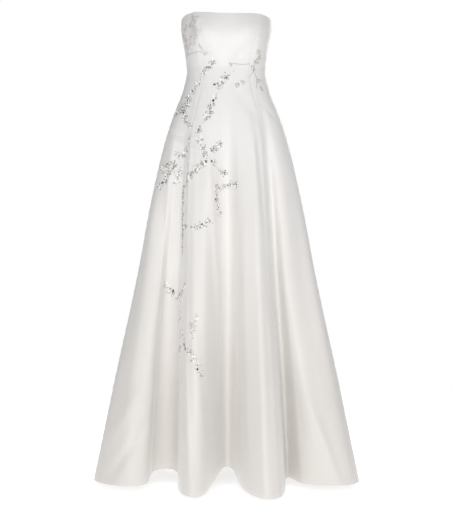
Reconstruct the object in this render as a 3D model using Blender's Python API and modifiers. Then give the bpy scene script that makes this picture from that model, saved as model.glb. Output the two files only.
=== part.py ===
"""A strapless wedding dress in ivory satin, filled out as it is worn.

Seven panels run the whole way from the straight neckline to the hem: one centre front, two side fronts,
two side backs and two centre backs. They are shaped over the bust, taken in at the waist and flared into
deep folds. A zip closes the centre back, and its pull tab swings on the slider.

Metres. The origin is at the middle of the waist, +Z is up and the front faces -Y, so that +X is the
wearer's left side.
"""

from collections import namedtuple

import bmesh
import bpy
import numpy as np
from mathutils import Matrix

# Driving sizes of the dress.
WAIST_HALF_WIDTH = 0.118
NECKLINE_HEIGHT = 0.152
FOLD_START_HEIGHT = -0.06
HEM_HEIGHT = -1.2186
HEM_HALF_WIDTH = 0.394
CLOTH_THICKNESS = 0.002
SEAM_GAP = 0.0003

# The bust is two soft rises in the front of the bodice.
BUST_RISE = 0.017
BUST_HALF_SPACING = 0.074
BUST_HEIGHT = 0.098
BUST_SPREAD_ACROSS = 0.054
BUST_SPREAD_UP = 0.050

# How fast the cups come forward from the sides of the bodice, in sines of the fabric line's angle.
BUST_BEGINS_SINE = 0.05
BUST_FULL_SINE = 0.75

# A ring is an ellipse squared a little at its four corners, down to the hip, and round below it.
BODICE_SQUARENESS = 0.045
SQUARE_DOWN_TO = -0.05
ROUND_BELOW = -0.35
FOLD_GROWTH_POWER = 1.25
NECKLINE_SHAPED_ABOVE = 0.07

# The zip runs from the neckline down the centre back seam.
ZIP_LENGTH = 0.34
ZIP_TAPE_WIDTH = 0.012
ZIP_TAPE_THICKNESS = 0.001
ZIP_TAPE_INSET = 0.0006
ZIP_TAPE_TOP_SETBACK = 0.003

# The slider stands on the cloth just under the neckline, and its bridge carries the pull tab's crossbar.
SLIDER_WIDTH = 0.0062
SLIDER_HEIGHT = 0.0100
SLIDER_DEPTH = 0.0022
SLIDER_TOP_SETBACK = 0.004
SLIDER_BEVEL = 0.0006
BRIDGE_WIDTH = 0.0020
BRIDGE_INNER_RADIUS = 0.0012
BRIDGE_OUTER_RADIUS = 0.0022
BRIDGE_STEPS = 12
TAB_THICKNESS = 0.0010
TAB_LENGTH = 0.0220
TAB_HALF_WIDTH = 0.0032
TAB_CROSSBAR = 0.0010
TAB_WINDOW_HALF_WIDTH = 0.0015
TAB_WINDOW_LENGTH = 0.0042
TAB_BEVEL = 0.0002
TAB_DROP_FROM = 20.0
TAB_DROP_TO = -200.0
TAB_DROP_STEPS = 16

# The fabric line of the centre back seam, counted round from the wearer's left side over the front.
BACK_DEGREES = 270.0

# The steps that slopes are measured over, and the angle past which an edge is drawn sharp.
SLOPE_STEP_DEGREES = 0.05
SLOPE_STEP_HEIGHT = 0.0005
LENGTH_STEP_DEGREES = 0.25
SHARP_DEGREES = 50.0

# One row for each ring: its height above the waist, and how far it reaches sideways, forwards and back.
Ring = namedtuple("Ring", "height half_width front back")
RINGS = [
    Ring(NECKLINE_HEIGHT, 0.1350, 0.107, 0.100),
    Ring(0.126, 0.1354, 0.110, 0.102),
    Ring(0.090, 0.1302, 0.110, 0.101),
    Ring(0.054, 0.1238, 0.104, 0.096),
    Ring(0.018, 0.1192, 0.095, 0.089),
    Ring(0.000, WAIST_HALF_WIDTH, 0.092, 0.087),
    Ring(-0.036, 0.1236, 0.093, 0.091),
    Ring(-0.072, 0.1340, 0.097, 0.101),
    Ring(-0.108, 0.1490, 0.102, 0.114),
    Ring(-0.144, 0.1625, 0.107, 0.126),
    Ring(-0.198, 0.1800, 0.113, 0.141),
    Ring(-0.240, 0.1915, 0.117, 0.150),
    Ring(-0.384, 0.2240, 0.124, 0.172),
    Ring(-0.600, 0.2640, 0.127, 0.202),
    Ring(-0.925, 0.3335, 0.129, 0.246),
    Ring(HEM_HEIGHT, HEM_HALF_WIDTH, 0.130, 0.284),
]

# One row for each turn of the neckline: how far it stands above or below its level line as worn.
Neckline = namedtuple("Neckline", "name degrees rise")
NECKLINE = [
    Neckline("left side", 0.0, -0.0035),
    Neckline("left corner", 43.0, 0.0005),
    Neckline("centre front", 90.0, -0.0020),
    Neckline("right corner", 141.0, 0.0050),
    Neckline("right side", 180.0, -0.0030),
    Neckline("right back", 225.0, 0.0000),
    Neckline("centre back", 270.0, 0.0000),
    Neckline("left back", 315.0, 0.0000),
]

# One row for each crest, flank or trough of the hem, round from the wearer's left side over the front.
# degrees: the fabric line it lies on. across, forward: its place at the hem. lift: the hem's rise there.
Fold = namedtuple("Fold", "name degrees across forward lift")
FOLDS = [
    Fold("left side", 0.0, 0.3950, 0.0300, 0.000),
    Fold("left panel crest", 20.0, 0.3420, 0.0960, 0.000),
    Fold("left panel shoulder", 40.0, 0.2220, 0.0780, 0.001),
    Fold("left trough", 50.0, 0.1770, 0.0280, 0.003),
    Fold("left fold outer flank", 55.0, 0.1660, 0.1600, -0.004),
    Fold("left fold crest", 63.0, 0.1340, 0.2160, -0.010),
    Fold("left fold shoulder", 71.0, 0.0850, 0.2000, -0.009),
    Fold("left fold inner flank", 79.0, 0.0420, 0.1200, 0.002),
    Fold("centre trough, left", 86.0, 0.0190, 0.0060, 0.026),
    Fold("centre trough, right", 93.0, -0.0100, 0.0040, 0.030),
    Fold("right fold inner flank", 101.0, -0.0380, 0.1060, 0.010),
    Fold("right fold shoulder", 109.0, -0.0660, 0.1930, -0.006),
    Fold("right fold crest", 118.0, -0.1160, 0.1970, -0.006),
    Fold("right fold outer flank", 125.0, -0.1370, 0.1380, -0.002),
    Fold("right trough, inner", 132.0, -0.1480, 0.0120, 0.019),
    Fold("right trough, outer", 143.0, -0.2180, 0.0020, 0.020),
    Fold("right panel shoulder", 152.0, -0.2320, 0.0880, 0.003),
    Fold("right panel crest", 164.0, -0.3120, 0.1010, 0.000),
    Fold("right side", 180.0, -0.3930, 0.0300, 0.000),
    Fold("right back side crest", 195.0, -0.3740, -0.0780, -0.003),
    Fold("right back side trough", 209.0, -0.2960, -0.1360, 0.010),
    Fold("right back fold, outer", 219.0, -0.2660, -0.2160, 0.000),
    Fold("right back fold, inner", 229.0, -0.2100, -0.2620, -0.006),
    Fold("right back trough", 241.0, -0.1440, -0.2180, 0.012),
    Fold("right centre fold, outer", 250.0, -0.1120, -0.2960, -0.002),
    Fold("right centre fold, inner", 259.0, -0.0580, -0.3260, -0.008),
    Fold("centre back trough", 270.0, 0.0040, -0.2620, 0.008),
    Fold("left centre fold, inner", 280.0, 0.0520, -0.3300, -0.008),
    Fold("left centre fold, outer", 289.0, 0.1060, -0.3040, -0.003),
    Fold("left back trough", 299.0, 0.1420, -0.2120, 0.012),
    Fold("left back fold, inner", 310.0, 0.2060, -0.2560, -0.006),
    Fold("left back fold, outer", 321.0, 0.2660, -0.2120, 0.000),
    Fold("left back side trough", 332.0, 0.3000, -0.1320, 0.010),
    Fold("left back side crest", 346.0, 0.3760, -0.0740, -0.003),
]

# One row for each seam: the fabric line it follows at the neckline, waist, hip and hem.
Seam = namedtuple("Seam", "neckline waist hip hem")
HIP_HEIGHT = -0.20
SEAM_HEIGHTS = [HEM_HEIGHT, HIP_HEIGHT, 0.0, NECKLINE_HEIGHT]
SEAMS = {
    "side_left": Seam(-3.0, -3.0, -3.0, -3.0),
    "front_left": Seam(41.0, 56.0, 52.0, 50.5),
    "front_right": Seam(139.0, 124.0, 128.0, 131.5),
    "side_right": Seam(183.0, 183.0, 183.0, 183.0),
    "back_right": Seam(228.0, 238.0, 236.0, 238.0),
    "centre_back": Seam(270.0, 270.0, 270.0, 270.0),
    "back_left": Seam(312.0, 302.0, 304.0, 302.0),
    "side_left_end": Seam(357.0, 357.0, 357.0, 357.0),
}

# One row for each panel: the seams it lies between, and how many strips across it is drawn with.
Panel = namedtuple("Panel", "name from_seam to_seam strips")
PANELS = [
    Panel("front_centre_panel", "front_left", "front_right", 42),
    Panel("front_side_panel_left", "side_left", "front_left", 14),
    Panel("front_side_panel_right", "front_right", "side_right", 16),
    Panel("back_side_panel_right", "side_right", "back_right", 14),
    Panel("back_centre_panel_right", "back_right", "centre_back", 13),
    Panel("back_centre_panel_left", "centre_back", "back_left", 13),
    Panel("back_side_panel_left", "back_left", "side_left_end", 14),
]
BODICE_ROWS = np.array([0.138, 0.122, 0.104, 0.086, 0.066, 0.044, 0.022, 0.0])
HIP_ROWS = np.array([-0.026, -0.054, -0.086, -0.124, -0.170, -0.230, -0.310])
SKIRT_ROWS = np.array([-0.420, -0.560, -0.720, -0.890, -1.060])
PANEL_ROWS = np.concatenate([[NECKLINE_HEIGHT], BODICE_ROWS, HIP_ROWS, SKIRT_ROWS, [HEM_HEIGHT]])
ZIP_TAPE_STRIPS = 2

# Colours, roughness and metallic value of each finish.
Finish = namedtuple("Finish", "colour roughness metallic")
FINISHES = {
    "satin": Finish((0.86, 0.84, 0.80, 1.0), 0.42, 0.0),
    "zip_tape": Finish((0.84, 0.82, 0.77, 1.0), 0.80, 0.0),
    "zip_metal": Finish((0.78, 0.76, 0.72, 1.0), 0.35, 0.9),
}


def smooth_through(knots, values, where):
    """A cubic curve through the values, whose slope at each knot is that of its neighbours."""
    knots = np.asarray(knots, float)
    values = np.asarray(values, float)
    slopes = np.gradient(values, knots, axis=0)
    where = np.asarray(where, float)
    first = np.clip(np.searchsorted(knots, where, side="right") - 1, 0, len(knots) - 2)
    span = knots[first + 1] - knots[first]
    share = np.clip((where - knots[first]) / span, 0.0, 1.0)
    if values.ndim > 1:
        span = span[..., None]
        share = share[..., None]
    start = values[first] * (1 + 2 * share) * (1 - share) ** 2
    end = values[first + 1] * (3 - 2 * share) * share**2
    leaving = slopes[first] * span * share * (1 - share) ** 2
    arriving = slopes[first + 1] * span * share**2 * (share - 1)
    return start + end + leaving + arriving


def soft_step(low, high, value):
    """0 below low, 1 above high, and an S between them."""
    share = np.clip((value - low) / (high - low), 0.0, 1.0)
    return share * share * (3 - 2 * share)


def ring_point(degrees, height):
    """Across and forward on the plain ring at a height, before the bust and the folds."""
    upward = sorted(RINGS, key=lambda ring: ring.height)
    sizes = smooth_through([ring.height for ring in upward], [ring[1:] for ring in upward], height)
    angle = np.radians(degrees)
    squareness = BODICE_SQUARENESS * soft_step(ROUND_BELOW, SQUARE_DOWN_TO, height)
    corner = 1 + squareness * np.sin(2 * angle) ** 2
    reach = np.where(np.sin(angle) > 0, sizes[..., 1], sizes[..., 2])
    return sizes[..., 0] * np.cos(angle) * corner, reach * np.sin(angle) * corner


def all_the_way_round(rows, degrees):
    """The columns of a table of named rows, joined smoothly round the dress by their angle."""
    plain = np.array([row[1:] for row in rows])
    turn = np.zeros_like(plain)
    turn[:, 0] = 360.0
    table = np.concatenate([plain - turn, plain, plain + turn])
    return np.moveaxis(smooth_through(table[:, 0], table[:, 1:], np.mod(degrees, 360)), -1, 0)


def fold_growth(height):
    """How far the folds have opened: 0 at their start below the waist, 1 at the hem."""
    share = np.clip((FOLD_START_HEIGHT - height) / (FOLD_START_HEIGHT - HEM_HEIGHT), 0.0, 1.0)
    return share**FOLD_GROWTH_POWER


def bust_rise(across, degrees, height):
    """How far the two cups push the front of the bodice forwards."""
    up = ((height - BUST_HEIGHT) / BUST_SPREAD_UP) ** 2
    left = ((across - BUST_HALF_SPACING) / BUST_SPREAD_ACROSS) ** 2
    right = ((across + BUST_HALF_SPACING) / BUST_SPREAD_ACROSS) ** 2
    cups = np.exp(-left - up) + np.exp(-right - up)
    facing = soft_step(BUST_BEGINS_SINE, BUST_FULL_SINE, np.sin(np.radians(degrees)))
    return BUST_RISE * cups * facing


def cloth_point(degrees, height):
    """The outer face of the dress on a fabric line, at a height counted as if the cloth hung plain."""
    degrees, height = np.broadcast_arrays(np.asarray(degrees, float), np.asarray(height, float))
    across, forward = ring_point(degrees, height)
    forward = forward + bust_rise(across, degrees, height)
    hem_across, hem_forward, hem_lift = all_the_way_round(FOLDS, degrees)
    plain_across, plain_forward = ring_point(degrees, np.full_like(degrees, HEM_HEIGHT))
    growth = fold_growth(height)
    across = across + growth * (hem_across - plain_across)
    forward = forward + growth * (hem_forward - plain_forward)
    (rise,) = all_the_way_round(NECKLINE, degrees)
    upward = height + growth * hem_lift + rise * soft_step(NECKLINE_SHAPED_ABOVE, NECKLINE_HEIGHT, height)
    return np.stack([across, -forward, upward], axis=-1)


def cloth_outward(degrees, height):
    """The direction straight out of the cloth, from its slopes round and down."""
    down = np.maximum(np.asarray(height, float) - SLOPE_STEP_HEIGHT, HEM_HEIGHT)
    up = np.minimum(np.asarray(height, float) + SLOPE_STEP_HEIGHT, NECKLINE_HEIGHT)
    before = cloth_point(np.subtract(degrees, SLOPE_STEP_DEGREES), height)
    after = cloth_point(np.add(degrees, SLOPE_STEP_DEGREES), height)
    round_the_ring = after - before
    upward = cloth_point(degrees, up) - cloth_point(degrees, down)
    # The fabric lines run clockwise seen from above, so the upward slope comes first in the product.
    outward = np.cross(upward, round_the_ring)
    return outward / np.linalg.norm(outward, axis=-1, keepdims=True)


def degrees_for(length, degrees, height):
    """The angle that a short length round the ring covers."""
    before = cloth_point(np.subtract(degrees, LENGTH_STEP_DEGREES), height)
    after = cloth_point(np.add(degrees, LENGTH_STEP_DEGREES), height)
    return length / np.linalg.norm(after - before, axis=-1) * 2 * LENGTH_STEP_DEGREES


def seam_line(name, heights):
    """The fabric line that a seam follows at each height."""
    seam = SEAMS[name]
    return smooth_through(SEAM_HEIGHTS, [seam.hem, seam.hip, seam.waist, seam.neckline], heights)


def wall(name, outer, inner, finish):
    """A closed sheet of cloth between two grids of points, one row for each height."""
    rows, columns = outer.shape[:2]
    points = np.concatenate([outer.reshape(-1, 3), inner.reshape(-1, 3)])
    outside = np.arange(rows * columns).reshape(rows, columns)
    inside = outside + rows * columns

    def strip(first, second):
        """The faces between two lines of corners, turned to face out at the sheet's edge."""
        return np.stack([first[:-1], first[1:], second[1:], second[:-1]], axis=-1).reshape(-1, 4)

    def skin(corners):
        """The faces of a whole grid of corners."""
        round_each = [corners[:-1, :-1], corners[1:, :-1], corners[1:, 1:], corners[:-1, 1:]]
        return np.stack(round_each, axis=-1).reshape(-1, 4)

    faces = np.concatenate(
        [
            skin(outside),
            skin(inside)[:, ::-1],
            strip(outside[0], inside[0]),
            strip(inside[-1], outside[-1]),
            strip(inside[:, 0], outside[:, 0]),
            strip(outside[:, -1], inside[:, -1]),
        ]
    )
    mesh = bpy.data.meshes.new(name)
    mesh.from_pydata(points.tolist(), [], faces.tolist())
    mesh.validate()
    shape = bmesh.new()
    shape.from_mesh(mesh)
    bmesh.ops.recalc_face_normals(shape, faces=shape.faces)
    shape.to_mesh(mesh)
    shape.free()
    mesh.shade_smooth()
    mesh.set_sharp_from_angle(angle=np.radians(SHARP_DEGREES))
    return place(name, mesh, finish)


def place(name, data, finish):
    """Puts one sub-part in the dress's collection with its own material."""
    piece = bpy.data.objects.new(name, data)
    material = bpy.data.materials.new(f"{name}_{finish}")
    material.use_nodes = True
    shader = material.node_tree.nodes["Principled BSDF"]
    shader.inputs["Base Color"].default_value = FINISHES[finish].colour
    shader.inputs["Roughness"].default_value = FINISHES[finish].roughness
    shader.inputs["Metallic"].default_value = FINISHES[finish].metallic
    material.diffuse_color = FINISHES[finish].colour
    data.materials.append(material)
    dress.objects.link(piece)
    return piece


def panel_lines(panel, heights):
    """The fabric line of each column of a panel at each height, half a seam gap inside its two seams."""
    first = seam_line(panel.from_seam, heights)
    last = seam_line(panel.to_seam, heights)
    first = first + degrees_for(SEAM_GAP / 2, first, heights)
    last = last - degrees_for(SEAM_GAP / 2, last, heights)
    share = np.linspace(0.0, 1.0, panel.strips + 1)
    return first[:, None] + (last - first)[:, None] * share[None, :]


def add_panel(panel):
    """One full-length panel: the outer face, and the same points moved in by the cloth's thickness."""
    lines = panel_lines(panel, PANEL_ROWS)
    heights = np.broadcast_to(PANEL_ROWS[:, None], lines.shape)
    outer = cloth_point(lines, heights)
    inner = outer - CLOTH_THICKNESS * cloth_outward(lines, heights)
    return wall(panel.name, outer, inner, "satin")


def add_zip_tape(name, side):
    """One woven tape of the zip, sewn inside the centre back seam and just clear of the cloth."""
    top = NECKLINE_HEIGHT - ZIP_TAPE_TOP_SETBACK
    bottom = NECKLINE_HEIGHT - ZIP_LENGTH
    between = PANEL_ROWS[(PANEL_ROWS < top) & (PANEL_ROWS > bottom)]
    heights = np.concatenate([[top], between, [bottom]])
    seam = np.full_like(heights, BACK_DEGREES)
    near = degrees_for(SEAM_GAP / 2, seam, heights)
    far = degrees_for(ZIP_TAPE_WIDTH, seam, heights)
    share = np.linspace(0.0, 1.0, ZIP_TAPE_STRIPS + 1)
    lines = BACK_DEGREES + side * (near[:, None] + (far - near)[:, None] * share[None, :])
    grid = np.broadcast_to(heights[:, None], lines.shape)
    face = cloth_point(lines, grid)
    outward = cloth_outward(lines, grid)
    depth = CLOTH_THICKNESS + ZIP_TAPE_INSET
    outer = face - depth * outward
    inner = face - (depth + ZIP_TAPE_THICKNESS) * outward
    return wall(name, outer, inner, "zip_tape")


def box(name, size, centre):
    """A plain block that a slider is joined from."""
    mesh = bpy.data.meshes.new(name)
    shape = bmesh.new()
    placed = Matrix.Translation(centre) @ Matrix.Diagonal((*size, 1.0))
    bmesh.ops.create_cube(shape, size=1.0, matrix=placed)
    shape.to_mesh(mesh)
    shape.free()
    return mesh


def slider_place():
    """Height of the slider's middle, and how far back its inner face and the tab's hinge line lie."""
    middle = NECKLINE_HEIGHT - SLIDER_TOP_SETBACK - SLIDER_HEIGHT / 2
    heights = middle + np.array([-0.5, 0.0, 0.5]) * SLIDER_HEIGHT
    half_width = degrees_for(SLIDER_WIDTH / 2, BACK_DEGREES, middle)
    sides = BACK_DEGREES + half_width * np.array([-1.0, 0.0, 1.0])
    back = cloth_point(sides[None, :], heights[:, None])[..., 1].max() + SEAM_GAP
    return middle, back, back + SLIDER_DEPTH + TAB_THICKNESS / 2 + SEAM_GAP


def add_slider():
    """The zip's slider: a bevelled body with a bridge over its middle for the tab's crossbar."""
    middle, back, hinge = slider_place()
    foot = back + SLIDER_DEPTH / 2
    body = box("zip_slider", (SLIDER_WIDTH, SLIDER_DEPTH, SLIDER_HEIGHT), (0.0, foot, middle))
    slider = place("zip_slider", body, "zip_metal")
    bevel = slider.modifiers.new("rounded edges", "BEVEL")
    bevel.width = SLIDER_BEVEL
    bevel.segments = 2

    sweep = np.radians(np.linspace(-90, 90, BRIDGE_STEPS + 1))

    def arch(radius):
        """Half a turn about the hinge line, carried straight down to the slider's body at both ends."""
        turn = np.stack([hinge + radius * np.cos(sweep), middle + radius * np.sin(sweep)], axis=-1)
        return [(foot, middle - radius), *turn.tolist(), (foot, middle + radius)]

    outline = arch(BRIDGE_OUTER_RADIUS) + arch(BRIDGE_INNER_RADIUS)[::-1]
    mesh = bpy.data.meshes.new("zip_bridge")
    shape = bmesh.new()
    corners = [shape.verts.new((-BRIDGE_WIDTH / 2, y, z)) for y, z in outline]
    side = shape.faces.new(corners)
    moved = bmesh.ops.extrude_face_region(shape, geom=[side])["geom"]
    far = [item for item in moved if isinstance(item, bmesh.types.BMVert)]
    bmesh.ops.translate(shape, verts=far, vec=(BRIDGE_WIDTH, 0, 0))
    bmesh.ops.recalc_face_normals(shape, faces=shape.faces)
    shape.to_mesh(mesh)
    shape.free()
    bridge = bpy.data.objects.new("zip_bridge_helper", mesh)
    bridge.hide_render = True
    bridge.display_type = "WIRE"
    helpers.objects.link(bridge)
    union = slider.modifiers.new("bridge", "BOOLEAN")
    union.operation = "UNION"
    union.object = bridge
    return slider


def add_pull_tab():
    """The pull tab: a flat drop with a window, hanging by its crossbar through the slider's bridge."""
    middle, _, hinge = slider_place()
    top = TAB_CROSSBAR / 2
    bottom = top - TAB_LENGTH
    narrow = TAB_WINDOW_HALF_WIDTH + TAB_CROSSBAR
    sweep = np.radians(np.linspace(TAB_DROP_FROM, TAB_DROP_TO, TAB_DROP_STEPS + 1))
    centre = bottom + TAB_HALF_WIDTH
    drop = np.stack([TAB_HALF_WIDTH * np.cos(sweep), centre + TAB_HALF_WIDTH * np.sin(sweep)], axis=-1)
    outer = [(-narrow, top), (narrow, top), *drop.tolist()]
    low = -top - TAB_WINDOW_LENGTH
    window = [
        (-TAB_WINDOW_HALF_WIDTH, low),
        (TAB_WINDOW_HALF_WIDTH, low),
        (TAB_WINDOW_HALF_WIDTH, -top),
        (-TAB_WINDOW_HALF_WIDTH, -top),
    ]
    curve = bpy.data.curves.new("zip_pull_tab", "CURVE")
    curve.dimensions = "2D"
    curve.fill_mode = "BOTH"
    curve.extrude = TAB_THICKNESS / 2 - TAB_BEVEL
    curve.bevel_depth = TAB_BEVEL
    curve.bevel_resolution = 1
    curve.offset = -TAB_BEVEL
    for outline in (outer, window):
        line = curve.splines.new("POLY")
        line.points.add(len(outline) - 1)
        for point, (x, y) in zip(line.points, outline):
            point.co = (x, y, 0.0, 1.0)
        line.use_cyclic_u = True
    tab = place("zip_pull_tab", curve, "zip_metal")
    tab.location = (0.0, hinge, middle)
    tab.rotation_euler = (np.radians(90), 0.0, 0.0)
    return tab


def clear_scene():
    """Empties the scene that Blender opens with."""
    for item in list(bpy.data.objects):
        bpy.data.objects.remove(item)


def add_collection(name, hidden):
    """A collection of its own under the scene."""
    made = bpy.data.collections.new(name)
    made.hide_render = hidden
    bpy.context.scene.collection.children.link(made)
    return made


clear_scene()
dress = add_collection("wedding_dress", hidden=False)
helpers = add_collection("helpers", hidden=True)
for panel_row in PANELS:
    add_panel(panel_row)
add_zip_tape("zip_tape_left", 1)
add_zip_tape("zip_tape_right", -1)
add_slider()
add_pull_tab()
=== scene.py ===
# %% [markdown]
# # A strapless wedding dress
#
# This lesson dresses a packed model of a satin wedding dress. The packed model, the frame, holds each piece
# at its real size as a plain solid. Here every piece gets its fine form and its finish: satin with the
# folds and small creases it hangs in, seams, turned edges, a zip, and sprays of beads and cut stones on one
# side.
#
# Lengths are metres. The origin is the middle of the waist, +Z is up, the front faces -Y and +X is the
# wearer's left. Each step starts with a note on the real thing and on the way chosen to make it.

# %% Load the frame
from collections import namedtuple

import bpy
import numpy as np
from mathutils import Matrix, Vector


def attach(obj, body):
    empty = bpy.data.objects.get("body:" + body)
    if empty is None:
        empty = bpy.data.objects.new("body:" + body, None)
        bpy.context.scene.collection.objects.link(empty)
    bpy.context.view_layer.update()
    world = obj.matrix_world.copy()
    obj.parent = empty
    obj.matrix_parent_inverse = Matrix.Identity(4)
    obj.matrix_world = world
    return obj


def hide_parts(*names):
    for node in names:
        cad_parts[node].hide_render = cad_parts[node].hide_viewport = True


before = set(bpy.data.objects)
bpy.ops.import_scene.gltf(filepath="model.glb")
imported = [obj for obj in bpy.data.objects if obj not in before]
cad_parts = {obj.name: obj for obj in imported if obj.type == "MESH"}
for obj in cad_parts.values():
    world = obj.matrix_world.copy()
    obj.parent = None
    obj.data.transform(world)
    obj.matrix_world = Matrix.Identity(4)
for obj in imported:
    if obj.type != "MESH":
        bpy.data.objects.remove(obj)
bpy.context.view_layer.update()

# %% [markdown]
# ## The camera
#
# A long lens level with the middle of the dress shows a gown with little distortion: the straight neckline,
# seen from below, still bows up, and the hem, seen from above, bows down. A lens is worked out from how
# many pixels one metre fills at one metre's distance, because that is what a photograph lets us measure.

# %% Set the camera
PICTURE_HEIGHT = 512
PIXELS_AT_ONE_METRE = 999.0
SENSOR = 36.0
CAMERA_DISTANCE = 3.0
CAMERA_HEIGHT = -0.5526
PICTURE_CENTRE_ACROSS = 0.0006

camera_data = bpy.data.cameras.new("camera")
camera_data.sensor_width = SENSOR
camera_data.lens = SENSOR * PIXELS_AT_ONE_METRE / PICTURE_HEIGHT
camera = bpy.data.objects.new("camera", camera_data)
camera.location = (PICTURE_CENTRE_ACROSS, -CAMERA_DISTANCE, CAMERA_HEIGHT)
camera.rotation_euler = (np.radians(90), 0.0, 0.0)
bpy.context.scene.collection.objects.link(camera)
bpy.context.scene.camera = camera
print(f"lens {camera_data.lens:.1f} mm")

# %% [markdown]
# ## The cut of the dress
#
# A gown like this has no waist seam. Long panels run from neckline to hem, and all the shape is in their
# seams. We describe it with four short tables: rings give its girth at each height, the neckline its rise
# and fall, folds the line of its hem, and seams the fabric lines that the panels meet on. A fabric line is
# an angle round the dress that stays with the cloth: 0 is the wearer's left side, 90 the centre front, 270
# the centre back.

# %% Rings and neckline
NECKLINE_HEIGHT = 0.152
WAIST_HEIGHT = 0.0
FOLD_START_HEIGHT = -0.06
HIP_HEIGHT = -0.20
HEM_HEIGHT = -1.2186
FOLD_GROWTH_POWER = 1.25
BODICE_SQUARENESS = 0.045
SQUARE_DOWN_TO = -0.05
ROUND_BELOW = -0.35
NECKLINE_SHAPED_ABOVE = 0.07
CENTRE_BACK = 270.0

Ring = namedtuple("Ring", "height half_width front back")
RINGS = [
    Ring(HEM_HEIGHT, 0.3940, 0.130, 0.284),
    Ring(-0.925, 0.3335, 0.129, 0.246),
    Ring(-0.600, 0.2640, 0.127, 0.202),
    Ring(-0.384, 0.2240, 0.124, 0.172),
    Ring(-0.240, 0.1915, 0.117, 0.150),
    Ring(-0.198, 0.1800, 0.113, 0.141),
    Ring(-0.144, 0.1625, 0.107, 0.126),
    Ring(-0.108, 0.1490, 0.102, 0.114),
    Ring(-0.072, 0.1340, 0.097, 0.101),
    Ring(-0.036, 0.1236, 0.093, 0.091),
    Ring(0.000, 0.1180, 0.092, 0.087),
    Ring(0.018, 0.1192, 0.095, 0.089),
    Ring(0.054, 0.1238, 0.104, 0.096),
    Ring(0.090, 0.1302, 0.110, 0.101),
    Ring(0.126, 0.1354, 0.110, 0.102),
    Ring(NECKLINE_HEIGHT, 0.1350, 0.107, 0.100),
]

Neckline = namedtuple("Neckline", "name degrees rise")
NECKLINE = [
    Neckline("left side", 0.0, -0.0035),
    Neckline("left corner", 43.0, 0.0005),
    Neckline("centre front", 90.0, -0.0020),
    Neckline("right corner", 141.0, 0.0050),
    Neckline("right side", 180.0, -0.0030),
    Neckline("right back", 225.0, 0.0000),
    Neckline("centre back", 270.0, 0.0000),
    Neckline("left back", 315.0, 0.0000),
]
print(len(RINGS), "rings from", HEM_HEIGHT, "to", NECKLINE_HEIGHT, "m")

# %% [markdown]
# A skirt this full hangs in flutes. Each row of the next table is one turn of the hem as seen from below:
# how far across and forward of the middle that fabric line stands, and how far it lifts off the hem's own
# level.

# %% Folds of the hem
Fold = namedtuple("Fold", "name degrees across forward lift")
FOLDS = [
    Fold("left side", 0.0, 0.3950, 0.0300, 0.000),
    Fold("left panel crest", 20.0, 0.3420, 0.0960, 0.000),
    Fold("left panel shoulder", 40.0, 0.2220, 0.0780, 0.001),
    Fold("left trough", 50.0, 0.1770, 0.0280, 0.003),
    Fold("left fold outer flank", 55.0, 0.1660, 0.1600, -0.004),
    Fold("left fold crest", 63.0, 0.1340, 0.2160, -0.010),
    Fold("left fold shoulder", 71.0, 0.0850, 0.2000, -0.009),
    Fold("left fold inner flank", 79.0, 0.0420, 0.1200, 0.002),
    Fold("centre trough, left", 86.0, 0.0190, 0.0060, 0.026),
    Fold("centre trough, right", 93.0, -0.0100, 0.0040, 0.030),
    Fold("right fold inner flank", 101.0, -0.0380, 0.1060, 0.010),
    Fold("right fold shoulder", 109.0, -0.0660, 0.1930, -0.006),
    Fold("right fold crest", 118.0, -0.1160, 0.1970, -0.006),
    Fold("right fold outer flank", 125.0, -0.1370, 0.1380, -0.002),
    Fold("right trough, inner", 132.0, -0.1480, 0.0120, 0.019),
    Fold("right trough, outer", 143.0, -0.2180, 0.0020, 0.020),
    Fold("right panel shoulder", 152.0, -0.2320, 0.0880, 0.003),
    Fold("right panel crest", 164.0, -0.3120, 0.1010, 0.000),
    Fold("right side", 180.0, -0.3930, 0.0300, 0.000),
    Fold("right back side crest", 195.0, -0.3740, -0.0780, -0.003),
    Fold("right back side trough", 209.0, -0.2960, -0.1360, 0.010),
    Fold("right back fold, outer", 219.0, -0.2660, -0.2160, 0.000),
    Fold("right back fold, inner", 229.0, -0.2100, -0.2620, -0.006),
    Fold("right back trough", 241.0, -0.1440, -0.2180, 0.012),
    Fold("right centre fold, outer", 250.0, -0.1120, -0.2960, -0.002),
    Fold("right centre fold, inner", 259.0, -0.0580, -0.3260, -0.008),
    Fold("centre back trough", 270.0, 0.0040, -0.2620, 0.008),
    Fold("left centre fold, inner", 280.0, 0.0520, -0.3300, -0.008),
    Fold("left centre fold, outer", 289.0, 0.1060, -0.3040, -0.003),
    Fold("left back trough", 299.0, 0.1420, -0.2120, 0.012),
    Fold("left back fold, inner", 310.0, 0.2060, -0.2560, -0.006),
    Fold("left back fold, outer", 321.0, 0.2660, -0.2120, 0.000),
    Fold("left back side trough", 332.0, 0.3000, -0.1320, 0.010),
    Fold("left back side crest", 346.0, 0.3760, -0.0740, -0.003),
]
print(len(FOLDS), "turns of the hem")

# %% [markdown]
# Two princess seams shape the front, two side seams join it to the back, and two more stand on either side
# of the centre back seam, where the zip is. Each runs on its own fabric line, which shifts a little on its
# way down.

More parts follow.
